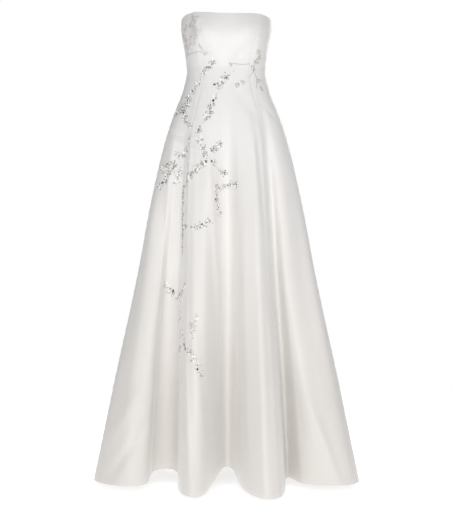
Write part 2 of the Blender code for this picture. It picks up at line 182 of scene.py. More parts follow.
# %% Seams
Seam = namedtuple("Seam", "hem hip waist neckline")
SEAM_HEIGHTS = [HEM_HEIGHT, HIP_HEIGHT, WAIST_HEIGHT, NECKLINE_HEIGHT]
SEAMS = {
    "side_left": Seam(-3.0, -3.0, -3.0, -3.0),
    "front_left": Seam(50.5, 52.0, 56.0, 41.0),
    "front_right": Seam(131.5, 128.0, 124.0, 139.0),
    "side_right": Seam(183.0, 183.0, 183.0, 183.0),
    "back_right": Seam(238.0, 236.0, 238.0, 228.0),
    "centre_back": Seam(270.0, 270.0, 270.0, 270.0),
    "back_left": Seam(302.0, 304.0, 302.0, 312.0),
    "side_left_end": Seam(357.0, 357.0, 357.0, 357.0),
}
SEWN_SEAMS = list(SEAMS)[:-1]
print(len(SEWN_SEAMS), "seams")

# %% [markdown]
# ## From tables to cloth
#
# A table becomes a surface when its rows are joined by smooth curves. Everything here takes whole arrays of
# angles and heights at once, which is what keeps a fine surface quick in Python.

# %% Helpers that read the tables
def smooth_through(knots, values, where):
    """Cubic Hermite curve: each knot's slope is that of its neighbours, and the curve is the sum of
    start (1 + 2t)(1 - t)^2, end (3 - 2t)t^2 and the two slopes' own cubics, with t from 0 to 1."""
    knots = np.asarray(knots, float)
    values = np.asarray(values, float)
    slopes = np.gradient(values, knots, axis=0)
    where = np.asarray(where, float)
    first = np.clip(np.searchsorted(knots, where, side="right") - 1, 0, len(knots) - 2)
    span = knots[first + 1] - knots[first]
    share = np.clip((where - knots[first]) / span, 0.0, 1.0)
    if values.ndim > 1:
        span = span[..., None]
        share = share[..., None]
    start = values[first] * (1 + 2 * share) * (1 - share) ** 2
    end = values[first + 1] * (3 - 2 * share) * share**2
    leaving = slopes[first] * span * share * (1 - share) ** 2
    arriving = slopes[first + 1] * span * share**2 * (share - 1)
    return start + end + leaving + arriving


def soft_step(low, high, value):
    """0 below low, 1 above high, and 3t^2 - 2t^3 between them."""
    share = np.clip((value - low) / (high - low), 0.0, 1.0)
    return share * share * (3 - 2 * share)


def all_the_way_round(rows, degrees):
    """The columns of a table of named rows, joined smoothly round the dress by their angle."""
    plain = np.array([row[1:] for row in rows])
    turn = np.zeros_like(plain)
    turn[:, 0] = 360.0
    table = np.concatenate([plain - turn, plain, plain + turn])
    return np.moveaxis(smooth_through(table[:, 0], table[:, 1:], np.mod(degrees, 360)), -1, 0)


crest = max(FOLDS, key=lambda fold: fold.forward)
print("the crest that stands out most, in metres:", all_the_way_round(FOLDS, crest.degrees))

# %% [markdown]
# The bust is two soft rises in the front of the bodice. The real cloth is shaped there by the two princess
# seams, so nothing has to be gathered.

# %% The plain hanging cloth
BUST_RISE = 0.017
BUST_HALF_SPACING = 0.074
BUST_HEIGHT = 0.098
BUST_SPREAD_ACROSS = 0.054
BUST_SPREAD_UP = 0.050
BUST_BEGINS_SINE = 0.05
BUST_FULL_SINE = 0.75


def ring_point(degrees, height):
    """Across = half width times cosine, forward = reach times sine, both pushed out at the corners."""
    sizes = smooth_through([ring.height for ring in RINGS], [ring[1:] for ring in RINGS], height)
    angle = np.radians(degrees)
    squareness = BODICE_SQUARENESS * soft_step(ROUND_BELOW, SQUARE_DOWN_TO, height)
    corner = 1 + squareness * np.sin(2 * angle) ** 2
    reach = np.where(np.sin(angle) > 0, sizes[..., 1], sizes[..., 2])
    return sizes[..., 0] * np.cos(angle) * corner, reach * np.sin(angle) * corner


def bust_rise(across, degrees, height):
    """Two bell curves in across and height, faded out towards the sides."""
    up = ((height - BUST_HEIGHT) / BUST_SPREAD_UP) ** 2
    left = ((across - BUST_HALF_SPACING) / BUST_SPREAD_ACROSS) ** 2
    right = ((across + BUST_HALF_SPACING) / BUST_SPREAD_ACROSS) ** 2
    facing = soft_step(BUST_BEGINS_SINE, BUST_FULL_SINE, np.sin(np.radians(degrees)))
    return BUST_RISE * (np.exp(-left - up) + np.exp(-right - up)) * facing


def cloth_point(degrees, height):
    """Ring point plus the bust, moved towards the folded hem by the share that the folds have opened."""
    degrees = np.asarray(degrees, float)
    height = np.asarray(height, float)
    across, forward = ring_point(degrees, height)
    forward = forward + bust_rise(across, degrees, height)
    hem_across, hem_forward, hem_lift = all_the_way_round(FOLDS, degrees)
    plain_across, plain_forward = ring_point(degrees, HEM_HEIGHT)
    share = np.clip((FOLD_START_HEIGHT - height) / (FOLD_START_HEIGHT - HEM_HEIGHT), 0.0, 1.0)
    growth = share**FOLD_GROWTH_POWER
    across = across + growth * (hem_across - plain_across)
    forward = forward + growth * (hem_forward - plain_forward)
    (rise,) = all_the_way_round(NECKLINE, degrees)
    upward = height + growth * hem_lift + rise * soft_step(NECKLINE_SHAPED_ABOVE, NECKLINE_HEIGHT, height)
    return np.stack(np.broadcast_arrays(across, -forward, upward), axis=-1)


def girth_at(height):
    """The length of the cloth's edge at one height, summed in steps of one degree."""
    return np.linalg.norm(np.diff(cloth_point(np.arange(361.0), height), axis=0), axis=1).sum()


neckline_girth = girth_at(NECKLINE_HEIGHT)
hem_girth = girth_at(HEM_HEIGHT)
print(f"neckline {neckline_girth:.3f} m round, hem {hem_girth:.3f} m round")

# %% [markdown]
# What stands off the cloth or lies along it needs the cloth's own directions. We take them from points a
# small step to either side, which works for any surface that a formula gives.

# %% Slopes of the cloth
SLOPE_STEP_DEGREES = 0.25
SLOPE_STEP_HEIGHT = 0.001


def unit(vectors):
    """Each vector divided by its length."""
    return vectors / np.linalg.norm(vectors, axis=-1, keepdims=True)


def cloth_slopes(degrees, height):
    """Slope round the dress per degree and slope up the dress per metre, from points just either side."""
    height = np.asarray(height, float)
    after = cloth_point(np.add(degrees, SLOPE_STEP_DEGREES), height)
    before = cloth_point(np.subtract(degrees, SLOPE_STEP_DEGREES), height)
    up = np.minimum(height + SLOPE_STEP_HEIGHT, NECKLINE_HEIGHT)
    down = np.maximum(height - SLOPE_STEP_HEIGHT, HEM_HEIGHT)
    rise = (cloth_point(degrees, up) - cloth_point(degrees, down)) / (up - down)[..., None]
    return (after - before) / (2 * SLOPE_STEP_DEGREES), rise


def metres_per_degree(degrees, height):
    """The length of cloth that one degree covers."""
    return np.linalg.norm(cloth_slopes(degrees, height)[0], axis=-1)


def seam_line(name, height):
    """The fabric line that a seam follows at each height."""
    return smooth_through(SEAM_HEIGHTS, SEAMS[name], height)


waist_degree = metres_per_degree(90.0, WAIST_HEIGHT)
print(f"one degree covers {1000 * waist_degree:.1f} mm at the front of the waist")

# %% [markdown]
# ## Creases
#
# Heavy satin never hangs in perfect curves. Long soft ridges run down the skirt between the main folds, and
# short creases sit where the cloth is pulled: at the waist, at the hips and under the bust. A simulation
# could make some, but not where we want them, so each is listed with its own length, width and depth. A
# ridge is a bell curve across its own line, and a trough is a ridge with a negative rise.

# %% Long ridges
Ridge = namedtuple("Ridge", "name top_degrees middle_degrees bottom_degrees top bottom width rise")
RIDGES = [
    Ridge("right side front, outer", 168.0, 164.0, 161.0, -0.30, -1.30, 0.024, 0.0050),
    Ridge("right side front, trough", 158.0, 152.0, 150.0, -0.26, -0.95, 0.020, -0.0040),
    Ridge("right side front, hip", 154.0, 147.0, 138.0, -0.17, -0.66, 0.014, 0.0050),
    Ridge("right side front, low trough", 142.0, 142.0, 141.0, -0.60, -1.30, 0.020, -0.0030),
    Ridge("right seam trough", 134.5, 134.0, 135.0, -0.16, -0.75, 0.008, -0.0035),
    Ridge("right fold, narrow crest", 126.5, 121.5, 113.0, -0.14, -1.30, 0.0085, 0.0040),
    Ridge("right fold, inner trough", 116.0, 112.5, 105.0, -0.20, -1.10, 0.018, -0.0035),
    Ridge("right fold, inner crest", 108.0, 98.0, 97.0, -0.20, -1.15, 0.013, 0.0055),
    Ridge("centre, broad trough", 92.0, 87.0, 82.0, -0.16, -1.00, 0.028, -0.0030),
    Ridge("left fold, soft crest", 76.0, 75.0, 74.0, -0.42, -1.20, 0.015, 0.0025),
    Ridge("left fold, bright crest", 65.0, 66.0, 67.5, -0.10, -1.30, 0.014, 0.0050),
    Ridge("left fold, outer trough", 60.5, 58.5, 59.0, -0.12, -0.80, 0.010, -0.0030),
    Ridge("left seam trough", 49.0, 47.5, 47.0, -0.16, -1.10, 0.012, -0.0030),
    Ridge("left side front, broad crest", 36.0, 38.0, 30.0, -0.15, -1.18, 0.026, 0.0060),
    Ridge("left side front, outer trough", 24.0, 24.0, 22.0, -0.30, -0.95, 0.024, -0.0035),
    Ridge("left side front, edge crest", 12.0, 14.0, 15.0, -0.40, -1.30, 0.022, 0.0030),
    Ridge("left side back, crest", 350.0, 352.0, 349.0, -0.22, -1.05, 0.020, 0.0035),
    Ridge("left side back, trough", 338.0, 339.0, 341.0, -0.18, -1.20, 0.018, -0.0035),
    Ridge("left side back, hip crest", 328.0, 326.0, 325.0, -0.14, -0.80, 0.016, 0.0040),
    Ridge("left back fold, edge", 315.0, 316.0, 317.0, -0.30, -1.30, 0.014, 0.0035),
    Ridge("left back seam trough", 305.0, 303.0, 301.0, -0.13, -0.90, 0.011, -0.0040),
    Ridge("left centre back, crest", 292.0, 291.0, 293.0, -0.22, -1.30, 0.015, 0.0040),
    Ridge("left centre back, trough", 284.0, 284.5, 285.0, -0.16, -0.85, 0.014, -0.0030),
    Ridge("centre back, left edge", 276.0, 275.5, 276.0, -0.40, -1.20, 0.010, 0.0030),
    Ridge("centre back, right edge", 265.0, 264.0, 263.0, -0.30, -1.10, 0.011, 0.0035),
    Ridge("right centre back, trough", 256.0, 255.5, 255.0, -0.14, -0.95, 0.013, -0.0035),
    Ridge("right centre back, crest", 247.5, 247.0, 246.0, -0.24, -1.30, 0.013, 0.0040),
    Ridge("right back seam trough", 236.0, 238.0, 240.0, -0.14, -0.80, 0.012, -0.0045),
    Ridge("right back fold, edge", 224.0, 223.0, 225.0, -0.34, -1.30, 0.016, 0.0035),
    Ridge("right side back, hip crest", 214.0, 215.0, 214.0, -0.12, -0.72, 0.015, 0.0040),
    Ridge("right side back, trough", 203.0, 204.0, 202.0, -0.20, -1.25, 0.019, -0.0035),
    Ridge("right side back, crest", 190.0, 189.0, 191.0, -0.28, -1.00, 0.018, 0.0030),
]
print(len(RIDGES), "long ridges")

# %% Short creases
Crease = namedtuple("Crease", "name from_degrees from_height to_degrees to_height width rise")
CREASES = [
    Crease("right hip pull", 157.0, -0.186, 137.0, -0.213, 0.0060, -0.0042),
    Crease("right hip pull, ridge", 158.0, -0.204, 140.0, -0.232, 0.0070, 0.0025),
    Crease("left front corner", 42.5, 0.200, 48.0, 0.040, 0.0130, 0.0022),
    Crease("right front corner", 131.0, 0.200, 129.0, 0.040, 0.0130, 0.0022),
    Crease("under the left cup", 43.0, 0.086, 84.0, 0.006, 0.0160, -0.0045),
    Crease("under the right cup", 131.0, 0.062, 106.0, 0.012, 0.0140, -0.0028),
    Crease("left waist to hip", 82.0, -0.055, 57.0, -0.150, 0.0180, -0.0025),
    Crease("right waist, upper", 160.0, 0.016, 134.0, -0.004, 0.0060, -0.0012),
    Crease("right waist, lower", 166.0, -0.012, 140.0, -0.034, 0.0070, -0.0014),
    Crease("left waist, upper", 14.0, 0.012, 40.0, -0.006, 0.0060, -0.0012),
    Crease("left waist, lower", 10.0, -0.020, 36.0, -0.042, 0.0070, -0.0014),
    Crease("left hip, short", 44.0, -0.118, 26.0, -0.150, 0.0080, -0.0020),
    Crease("left corner of the hem", 30.0, -1.020, 23.0, -1.205, 0.0140, 0.0040),
    Crease("right corner of the hem", 153.0, -1.030, 169.0, -1.195, 0.0160, -0.0040),
    Crease("right corner of the hem, upper", 157.0, -0.930, 171.0, -1.075, 0.0180, 0.0028),
    Crease("back left waist, upper", 346.0, 0.014, 318.0, -0.002, 0.0060, -0.0013),
    Crease("back left waist, lower", 340.0, -0.020, 309.0, -0.036, 0.0070, -0.0016),
    Crease("back right waist, upper", 196.0, 0.010, 224.0, -0.004, 0.0060, -0.0013),
    Crease("back right waist, lower", 201.0, -0.026, 232.0, -0.040, 0.0070, -0.0015),
    Crease("back left seat", 296.0, -0.116, 322.0, -0.150, 0.0100, -0.0022),
    Crease("back right seat", 243.0, -0.112, 218.0, -0.146, 0.0100, -0.0022),
    Crease("back left shoulder blade", 290.0, 0.118, 308.0, 0.092, 0.0120, -0.0012),
]
print(len(CREASES), "short creases")

# %% How far a ridge or a crease stands off
RIDGE_FADE = 0.16
CREASE_FADE = 0.30


def degrees_from(line, degrees):
    """How far round an angle lies from a line, the short way: between -180 and 180."""
    return np.mod(degrees - line + 180, 360) - 180


def ridge_height(ridge, degrees, height):
    """Rise times exp(-(distance / width)^2), with the distance measured round from the ridge's own line."""
    middle = (ridge.top + ridge.bottom) / 2
    line = smooth_through(
        [ridge.bottom, middle, ridge.top],
        [ridge.bottom_degrees, ridge.middle_degrees, ridge.top_degrees],
        height,
    )
    distance = degrees_from(line, degrees) * metres_per_degree(line, height)
    ends = soft_step(ridge.top, ridge.top - RIDGE_FADE, height) * soft_step(
        ridge.bottom, ridge.bottom + RIDGE_FADE, height
    )
    return ridge.rise * np.exp(-((distance / ridge.width) ** 2)) * ends


def crease_height(crease, degrees, height):
    """The same bell curve across a straight line between two points, faded at both of its ends."""
    middle = ((crease.from_degrees + crease.to_degrees) / 2, (crease.from_height + crease.to_height) / 2)
    scale = metres_per_degree(*middle)
    length_across = (crease.to_degrees - crease.from_degrees) * scale
    along = np.array([length_across, crease.to_height - crease.from_height])
    place_across = degrees_from(crease.from_degrees, degrees) * scale
    place_up = height - crease.from_height
    share = (place_across * along[0] + place_up * along[1]) / (along @ along)
    distance = (place_across * along[1] - place_up * along[0]) / np.sqrt(along @ along)
    ends = soft_step(-CREASE_FADE, CREASE_FADE, share) * soft_step(1 + CREASE_FADE, 1 - CREASE_FADE, share)
    return crease.rise * np.exp(-((distance / crease.width) ** 2)) * ends


print("the tallest ridge stands", 1000 * max(ridge.rise for ridge in RIDGES), "mm off")

# %% [markdown]
# ## Seams
#
# A pressed seam pulls the cloth in by about a millimetre, in a narrow groove, and the stitches shorten it a
# little, which leaves small puckers that die out within two fingers' width. The groove is the same on both
# sides of the seam, so the panels meet. The puckers are waves along the seam, out of step from seam to
# seam.

# %% Seam grooves, puckers and the finished surface
GROOVE_DEPTH = 0.0007
GROOVE_WIDTH = 0.0014
PULL_DEPTH = 0.0004
PULL_WIDTH = 0.0075
PUCKER_HEIGHT = 0.00035
PUCKER_REACH = 0.012
PUCKER_LENGTHS = (0.017, 0.029)
PUCKER_SHIFT = 1.7


def seam_height(name, phase, degrees, height):
    """Minus two bell curves, narrow and broad, plus two sine waves along the seam, faded away from it."""
    line = seam_line(name, height)
    distance = np.abs(degrees_from(line, degrees)) * metres_per_degree(line, height)
    groove = GROOVE_DEPTH * np.exp(-((distance / GROOVE_WIDTH) ** 2))
    pull = PULL_DEPTH * np.exp(-((distance / PULL_WIDTH) ** 2))
    waves = sum(np.sin(2 * np.pi * height / length + phase) for length in PUCKER_LENGTHS)
    near = (distance / PUCKER_REACH) * np.exp(1 - distance / PUCKER_REACH)
    return PUCKER_HEIGHT * waves * near - groove - pull


def relief(degrees, height):
    """How far the real cloth stands off the plain hanging one: all ridges, creases and seams together."""
    ridges = sum(ridge_height(ridge, degrees, height) for ridge in RIDGES)
    creases = sum(crease_height(crease, degrees, height) for crease in CREASES)
    phases = enumerate(SEWN_SEAMS)
    seams = sum(seam_height(name, PUCKER_SHIFT * number, degrees, height) for number, name in phases)
    return ridges + creases + seams


def skin(degrees, height, depth=0.0, past_edge=0.0):
    """The finished surface: the plain cloth, moved out by its relief and in by a depth along its normal,
    and past its upper or lower edge along its own slope. Gives the points and the outward directions."""
    round_slope, up_slope = cloth_slopes(degrees, height)
    outward = unit(np.cross(up_slope, round_slope))
    offset = (relief(degrees, height) - depth)[..., None] * outward
    slide = np.asarray(past_edge, float)[..., None] * unit(up_slope)
    return cloth_point(degrees, height) + offset + slide, outward


def degrees_over(length, degrees, height):
    """The angle that a short length round the dress covers."""
    return length / metres_per_degree(degrees, height)


print("relief at the left bright crest", np.round(relief(66.0, -0.6) * 1000, 2), "mm")

# %% [markdown]
# ## Writing materials as sums
#
# A material in Blender is a graph of nodes, which is slow to read when it is written link by link. A small
# class wraps a socket so that ordinary sums add the Math nodes for us: `2 * u + v` makes two nodes and
# gives back a new value. Any other node comes from one method of the finish that the value belongs to.

# %% A value
class Value:
    """A number or vector that a material works out. Sums on it add Math nodes."""

    def __init__(self, finish, socket):
        self.finish = finish
        self.socket = socket

    def math(self, operation, *others):
        """One Math node on this value and the others."""
        inputs = dict(enumerate((self, *others)))
        return self.finish.node("ShaderNodeMath", {"operation": operation}, inputs)

    def __add__(self, other):
        return self.math("ADD", other)

    def __sub__(self, other):
        return self.math("SUBTRACT", other)

    def __rsub__(self, other):
        return self.finish.node("ShaderNodeMath", {"operation": "SUBTRACT"}, {0: other, 1: self})

    def __mul__(self, other):
        return self.math("MULTIPLY", other)

    __radd__ = __add__
    __rmul__ = __mul__


print("sums on a value:", [name for name in vars(Value) if name.startswith("__r")])

# %% A finish
SOCKET_NAMES = {"specular_ior_level": "Specular IOR Level", "ior": "IOR"}


class Finish:
    """A material with one Principled shader. Keyword settings go to the shader's own sockets."""

    def __init__(self, name, **sockets):
        self.material = bpy.data.materials.new(name)
        self.material.use_nodes = True
        self.tree = self.material.node_tree
        self.shader = self.tree.nodes["Principled BSDF"]
        self.set(**sockets)

    def feed(self, socket, value):
        """Links a worked-out value to a socket, or sets a plain one."""
        if isinstance(value, Value):
            self.tree.links.new(value.socket, socket)
        else:
            socket.default_value = value

    def node(self, kind, settings=None, inputs=None, output=0):
        """Adds a node, sets it up, feeds its sockets and gives one of its outputs."""
        made = self.tree.nodes.new(kind)
        for key, value in (settings or {}).items():
            setattr(made, key, value)
        for key, value in (inputs or {}).items():
            self.feed(made.inputs[key], value)
        return Value(self, made.outputs[output])

    def set(self, **sockets):
        """Feeds the shader's sockets: base_color is Base Color, and so on."""
        for key, value in sockets.items():
            name = SOCKET_NAMES.get(key, key.replace("_", " ").title())
            self.feed(self.shader.inputs[name], value)

    def object_place(self):
        """Each point's own place in the dress, in metres."""
        return self.node("ShaderNodeTexCoord", output="Object")

    def cloth_place(self):
        """Each point's place on the flat cloth, in metres."""
        return self.node("ShaderNodeUVMap", {"uv_map": "cloth"})

    def stretched(self, place, across, along, out=1.0):
        """A place scaled by its own amount in each direction."""
        scaled = {"Vector": place, "Scale": (across, along, out)}
        return self.node("ShaderNodeMapping", {"vector_type": "POINT"}, scaled)

    def noise(self, place, scale, detail=2.0, roughness=0.5):
        """Soft noise from 0 to 1."""
        inputs = {"Vector": place, "Scale": scale, "Detail": detail, "Roughness": roughness}
        return self.node("ShaderNodeTexNoise", {}, inputs)

    def wave(self, place, pitch):
        """A sine wave with a pitch in metres: sin(2 pi place / pitch)."""
        return (place * (2 * np.pi / pitch)).math("SINE")

    def limited(self, value):
        """A value kept between 0 and 1."""
        return value.math("MINIMUM", 1.0).math("MAXIMUM", 0.0)

    def blend(self, share, first, second):
        """A colour between two, by a share from 0 to 1."""
        settings = {"data_type": "RGBA"}
        return self.node("ShaderNodeMix", settings, {0: share, 6: first, 7: second}, output=2)

    def separate(self, vector):
        """The x, y and z of a vector."""
        made = self.node("ShaderNodeSeparateXYZ", {}, {0: vector})
        return [Value(self, socket) for socket in made.socket.node.outputs]

    def bump(self, height, distance, strength=1.0, normal=None):
        """Turns a height into a normal. Distance is the real height of 1."""
        inputs = {"Height": height, "Distance": distance, "Strength": strength}
        if normal is not None:
            inputs["Normal"] = normal
        return self.node("ShaderNodeBump", {}, inputs)


print("a finish has", len(vars(Finish)), "names of its own")

# %% [markdown]
# ## Satin
#
# Duchess satin is a close weave whose long warp threads float on the face. It has a soft gloss, wider than
# a lacquer's and narrower than cotton's, and fine streaks where one warp thread is a little thicker than
# the next. So the finish is a mid roughness with a little sheen, streaks drawn out along the panel's
# length, and the weave itself as fine ribs that only a close look shows.

# %% The satin
WARP_PITCH = 0.00045
WEFT_PITCH = 0.0011
WEAVE_HEIGHT = 0.00003
STREAK_HEIGHT = 0.0004
DRAPE_HEIGHT = 0.0030
STREAKS_PER_METRE = (160.0, 5.0)
DRAPE_PER_METRE = (34.0, 3.0)
CLOUDS_PER_METRE = 5.0
PAINTED_SHADE_PER_METRE = 1.25
PAINTED_SHADE_DELAY = 0.42
# Painted shade: the satin's colour turns darker and warmer towards the hem, in soft clouds, for the light
# that falls off lower down.
IVORY_LIGHT = (0.780, 0.758, 0.738, 1.0)
IVORY_PAINTED_SHADE = (0.615, 0.588, 0.556, 1.0)


def satin():
    """Ivory duchess satin, with painted shade that makes it darker and warmer towards the hem."""
    sheen = {"sheen_weight": 0.60, "sheen_roughness": 0.60}
    finish = Finish("satin", metallic=0.0, specular_ior_level=0.38, **sheen)
    place = finish.cloth_place()
    across, along, _ = finish.separate(place)
    streaks = finish.noise(finish.stretched(place, *STREAKS_PER_METRE), 1.0, detail=3.0)
    clouds = finish.noise(finish.object_place(), CLOUDS_PER_METRE)
    warp = finish.wave(across, WARP_PITCH)
    weft = finish.wave(along, WEFT_PITCH)
    drape = finish.noise(finish.stretched(place, *DRAPE_PER_METRE), 1.0, detail=1.0)
    _, _, height = finish.separate(finish.object_place())
    # Painted shade: the share of the darker ivory grows towards the hem, broken up by the clouds.
    lower = finish.limited(height * -PAINTED_SHADE_PER_METRE - PAINTED_SHADE_DELAY + clouds * 0.4)
    finish.set(base_color=finish.blend(lower, IVORY_LIGHT, IVORY_PAINTED_SHADE), roughness=0.42 + streaks * 0.12)
    folds = finish.bump(drape, DRAPE_HEIGHT, 0.35)
    lines = finish.bump(streaks, STREAK_HEIGHT, 0.30, folds)
    finish.set(normal=finish.bump(warp * 0.5 + weft * 0.25, WEAVE_HEIGHT, 0.35, lines))
    return finish.material


SATIN = satin()
print("satin has", len(SATIN.node_tree.nodes), "nodes")

# %% [markdown]
# ## The panels
#
# Each panel is one grid of points, laid along a path that starts inside the neckline, goes over its turned
# edge, runs the length of the dress, goes under the turned hem and ends inside it. The columns stand close
# together at both seams, where the groove needs them, and evenly between. Solidify then gives the cloth its
# own thickness. This way an edge is the real thing, cloth folded over cloth, and not a cut wall.

# %% Meshes from arrays
CLOTH_THICKNESS = 0.0008


def add_mesh(name, points, faces, material, smooth=True, uv=None):
    """A mesh object at the origin from arrays of points and faces, with an optional flat layout."""
    mesh = bpy.data.meshes.new(name)
    mesh.from_pydata(np.asarray(points).reshape(-1, 3).tolist(), [], np.asarray(faces).tolist())
    if uv is not None:
        corners = np.empty(len(mesh.loops), int)
        mesh.loops.foreach_get("vertex_index", corners)
        layer = mesh.uv_layers.new(name="cloth")
        layer.data.foreach_set("uv", uv.reshape(-1, 2)[corners].astype(np.float32).ravel())
    mesh.materials.append(material)
    if smooth:
        mesh.shade_smooth()
    else:
        mesh.shade_flat()
    made = bpy.data.objects.new(name, mesh)
    bpy.context.scene.collection.objects.link(made)
    return made


def grid_faces(rows, columns):
    """The four-sided faces of a grid, wound along each column's step before the step to the next row."""
    corner = np.arange(rows * columns).reshape(rows, columns)
    round_each = [corner[:-1, :-1], corner[:-1, 1:], corner[1:, 1:], corner[1:, :-1]]
    return np.stack(round_each, axis=-1).reshape(-1, 4)


def thicken(piece, thickness):
    """Gives a sheet its thickness, all of it on the inside."""
    solid = piece.modifiers.new("cloth thickness", "SOLIDIFY")
    solid.thickness = thickness
    solid.offset = -1.0
    solid.use_even_offset = False
    return piece


def flat_layout(points):
    """Where each point lies on the flat cloth: lengths summed round each row and down each column."""
    steps_round = np.linalg.norm(np.diff(points, axis=1), axis=-1)
    steps_down = np.linalg.norm(np.diff(points, axis=0), axis=-1)
    across = np.pad(np.cumsum(steps_round, axis=1), ((0, 0), (1, 0)))
    across = across - across[:, across.shape[1] // 2][:, None]
    down = np.pad(np.cumsum(steps_down, axis=0), ((1, 0), (0, 0)))
    return np.stack([across, -down], axis=-1)


print("one small grid has", len(grid_faces(3, 4)), "faces")

# %% [markdown]
# The path is the same for every panel. Its rows stand closest where the cloth turns most: half a circle of
# them over each edge, one every four to six millimetres on the bodice and the hips, and wider steps down
# the skirt.

# %% The path over the neckline and under the hem
TURN_RADIUS = 0.0012
NECKLINE_TURN = 0.022
HEM_TURN = 0.035
FULL_HIP_HEIGHT = -0.36
ARC_STEPS = 6
BODICE_ROWS = 38
HIP_ROWS = 58
SKIRT_ROWS = 74
TURNED_ROWS = np.array([0.06, 0.25, 0.6, 1.0])
TURNED_ROWS_UP = np.array([1.0, 0.6, 0.25, 0.08])
Path = namedtuple("Path", "height depth past_edge")


def panel_path():
    """Heights, depths and slides along the cloth. Over an edge the path is half a circle: depth is
    r(1 - cos a) and the slide past the edge is r sin a."""
    arc = np.linspace(0.0, np.pi, ARC_STEPS + 1)
    arc_depth = TURN_RADIUS * (1 - np.cos(arc))
    arc_slide = TURN_RADIUS * np.sin(arc)
    bodice = np.linspace(NECKLINE_HEIGHT, WAIST_HEIGHT, BODICE_ROWS + 1)[1:]
    hips = np.linspace(WAIST_HEIGHT, FULL_HIP_HEIGHT, HIP_ROWS + 1)[1:]
    skirt = np.linspace(FULL_HIP_HEIGHT, HEM_HEIGHT, SKIRT_ROWS + 2)[1:-1]
    top = np.full(ARC_STEPS + 1, NECKLINE_HEIGHT)
    bottom = np.full(ARC_STEPS + 1, HEM_HEIGHT)
    inside_top = NECKLINE_HEIGHT - NECKLINE_TURN * TURNED_ROWS_UP
    inside_bottom = HEM_HEIGHT + HEM_TURN * TURNED_ROWS
    face = np.concatenate([bodice, hips, skirt])
    height = np.concatenate([inside_top, top, face, bottom, inside_bottom])
    flat = np.zeros_like(face)
    inner = np.full(len(TURNED_ROWS), 2 * TURN_RADIUS)
    depth = np.concatenate([inner, arc_depth[::-1], flat, arc_depth, inner])
    slide = np.concatenate([0 * inner, arc_slide[::-1], flat, -arc_slide, 0 * inner])
    return Path(height, depth, slide)


PATH = panel_path()
print("a panel's path has", len(PATH.height), "rows")

# %% [markdown]
# Now the seven panels themselves. Each has a count of columns that suits its width, and the width, length
# and area of the cloth it is cut from, which we state so that the sheet can be checked against its own
# mesh.

# %% The seven panels
PANEL_GAP = 0.0001
SEAM_COLUMNS = np.array([0.0, 0.0005, 0.0012, 0.0022, 0.0036, 0.0058])
Panel = namedtuple("Panel", "name from_seam to_seam columns flat_width flat_length flat_area")
PANELS = [
    Panel("front_centre_panel", "front_left", "front_right", 216, 0.945, 1.440, 0.668),
    Panel("front_side_panel_left", "side_left", "front_left", 74, 0.345, 1.450, 0.276),
    Panel("front_side_panel_right", "front_right", "side_right", 82, 0.405, 1.450, 0.302),
    Panel("back_side_panel_right", "side_right", "back_right", 84, 0.425, 1.455, 0.335),
    Panel("back_centre_panel_right", "back_right", "centre_back", 58, 0.262, 1.455, 0.223),
    Panel("back_centre_panel_left", "centre_back", "back_left", 58, 0.270, 1.455, 0.226),
    Panel("back_side_panel_left", "back_left", "side_left_end", 84, 0.417, 1.455, 0.331),
]


def panel_lines(panel, height):
    """The fabric line of each column: set distances from both seams, then even shares between them."""
    first = seam_line(panel.from_seam, height)
    last = seam_line(panel.to_seam, height)
    reach = SEAM_COLUMNS + PANEL_GAP / 2
    from_first = first[:, None] + reach * degrees_over(1.0, first, height)[:, None]
    from_last = last[:, None] - reach[::-1] * degrees_over(1.0, last, height)[:, None]
    share = np.linspace(0.0, 1.0, panel.columns + 1)[1:-1]
    start = from_first[:, -1:]
    between = start + (from_last[:, :1] - start) * share
    return np.concatenate([from_first, between, from_last], axis=1)


def add_panel(panel):
    """One panel of satin, from its turned neckline to its turned hem."""
    lines = panel_lines(panel, PATH.height)
    points, _ = skin(lines, PATH.height[:, None], PATH.depth[:, None], PATH.past_edge[:, None])
    rows, columns = lines.shape
    made = add_mesh(f"{panel.name}_satin", points, grid_faces(rows, columns), SATIN, uv=flat_layout(points))
    thicken(made, CLOTH_THICKNESS)
    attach(made, "dress")
    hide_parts(panel.name)
    print(f"{panel.name}: {rows} x {columns} points, {4 * (rows - 1) * (columns - 1)} triangles")


for panel in PANELS:
    add_panel(panel)
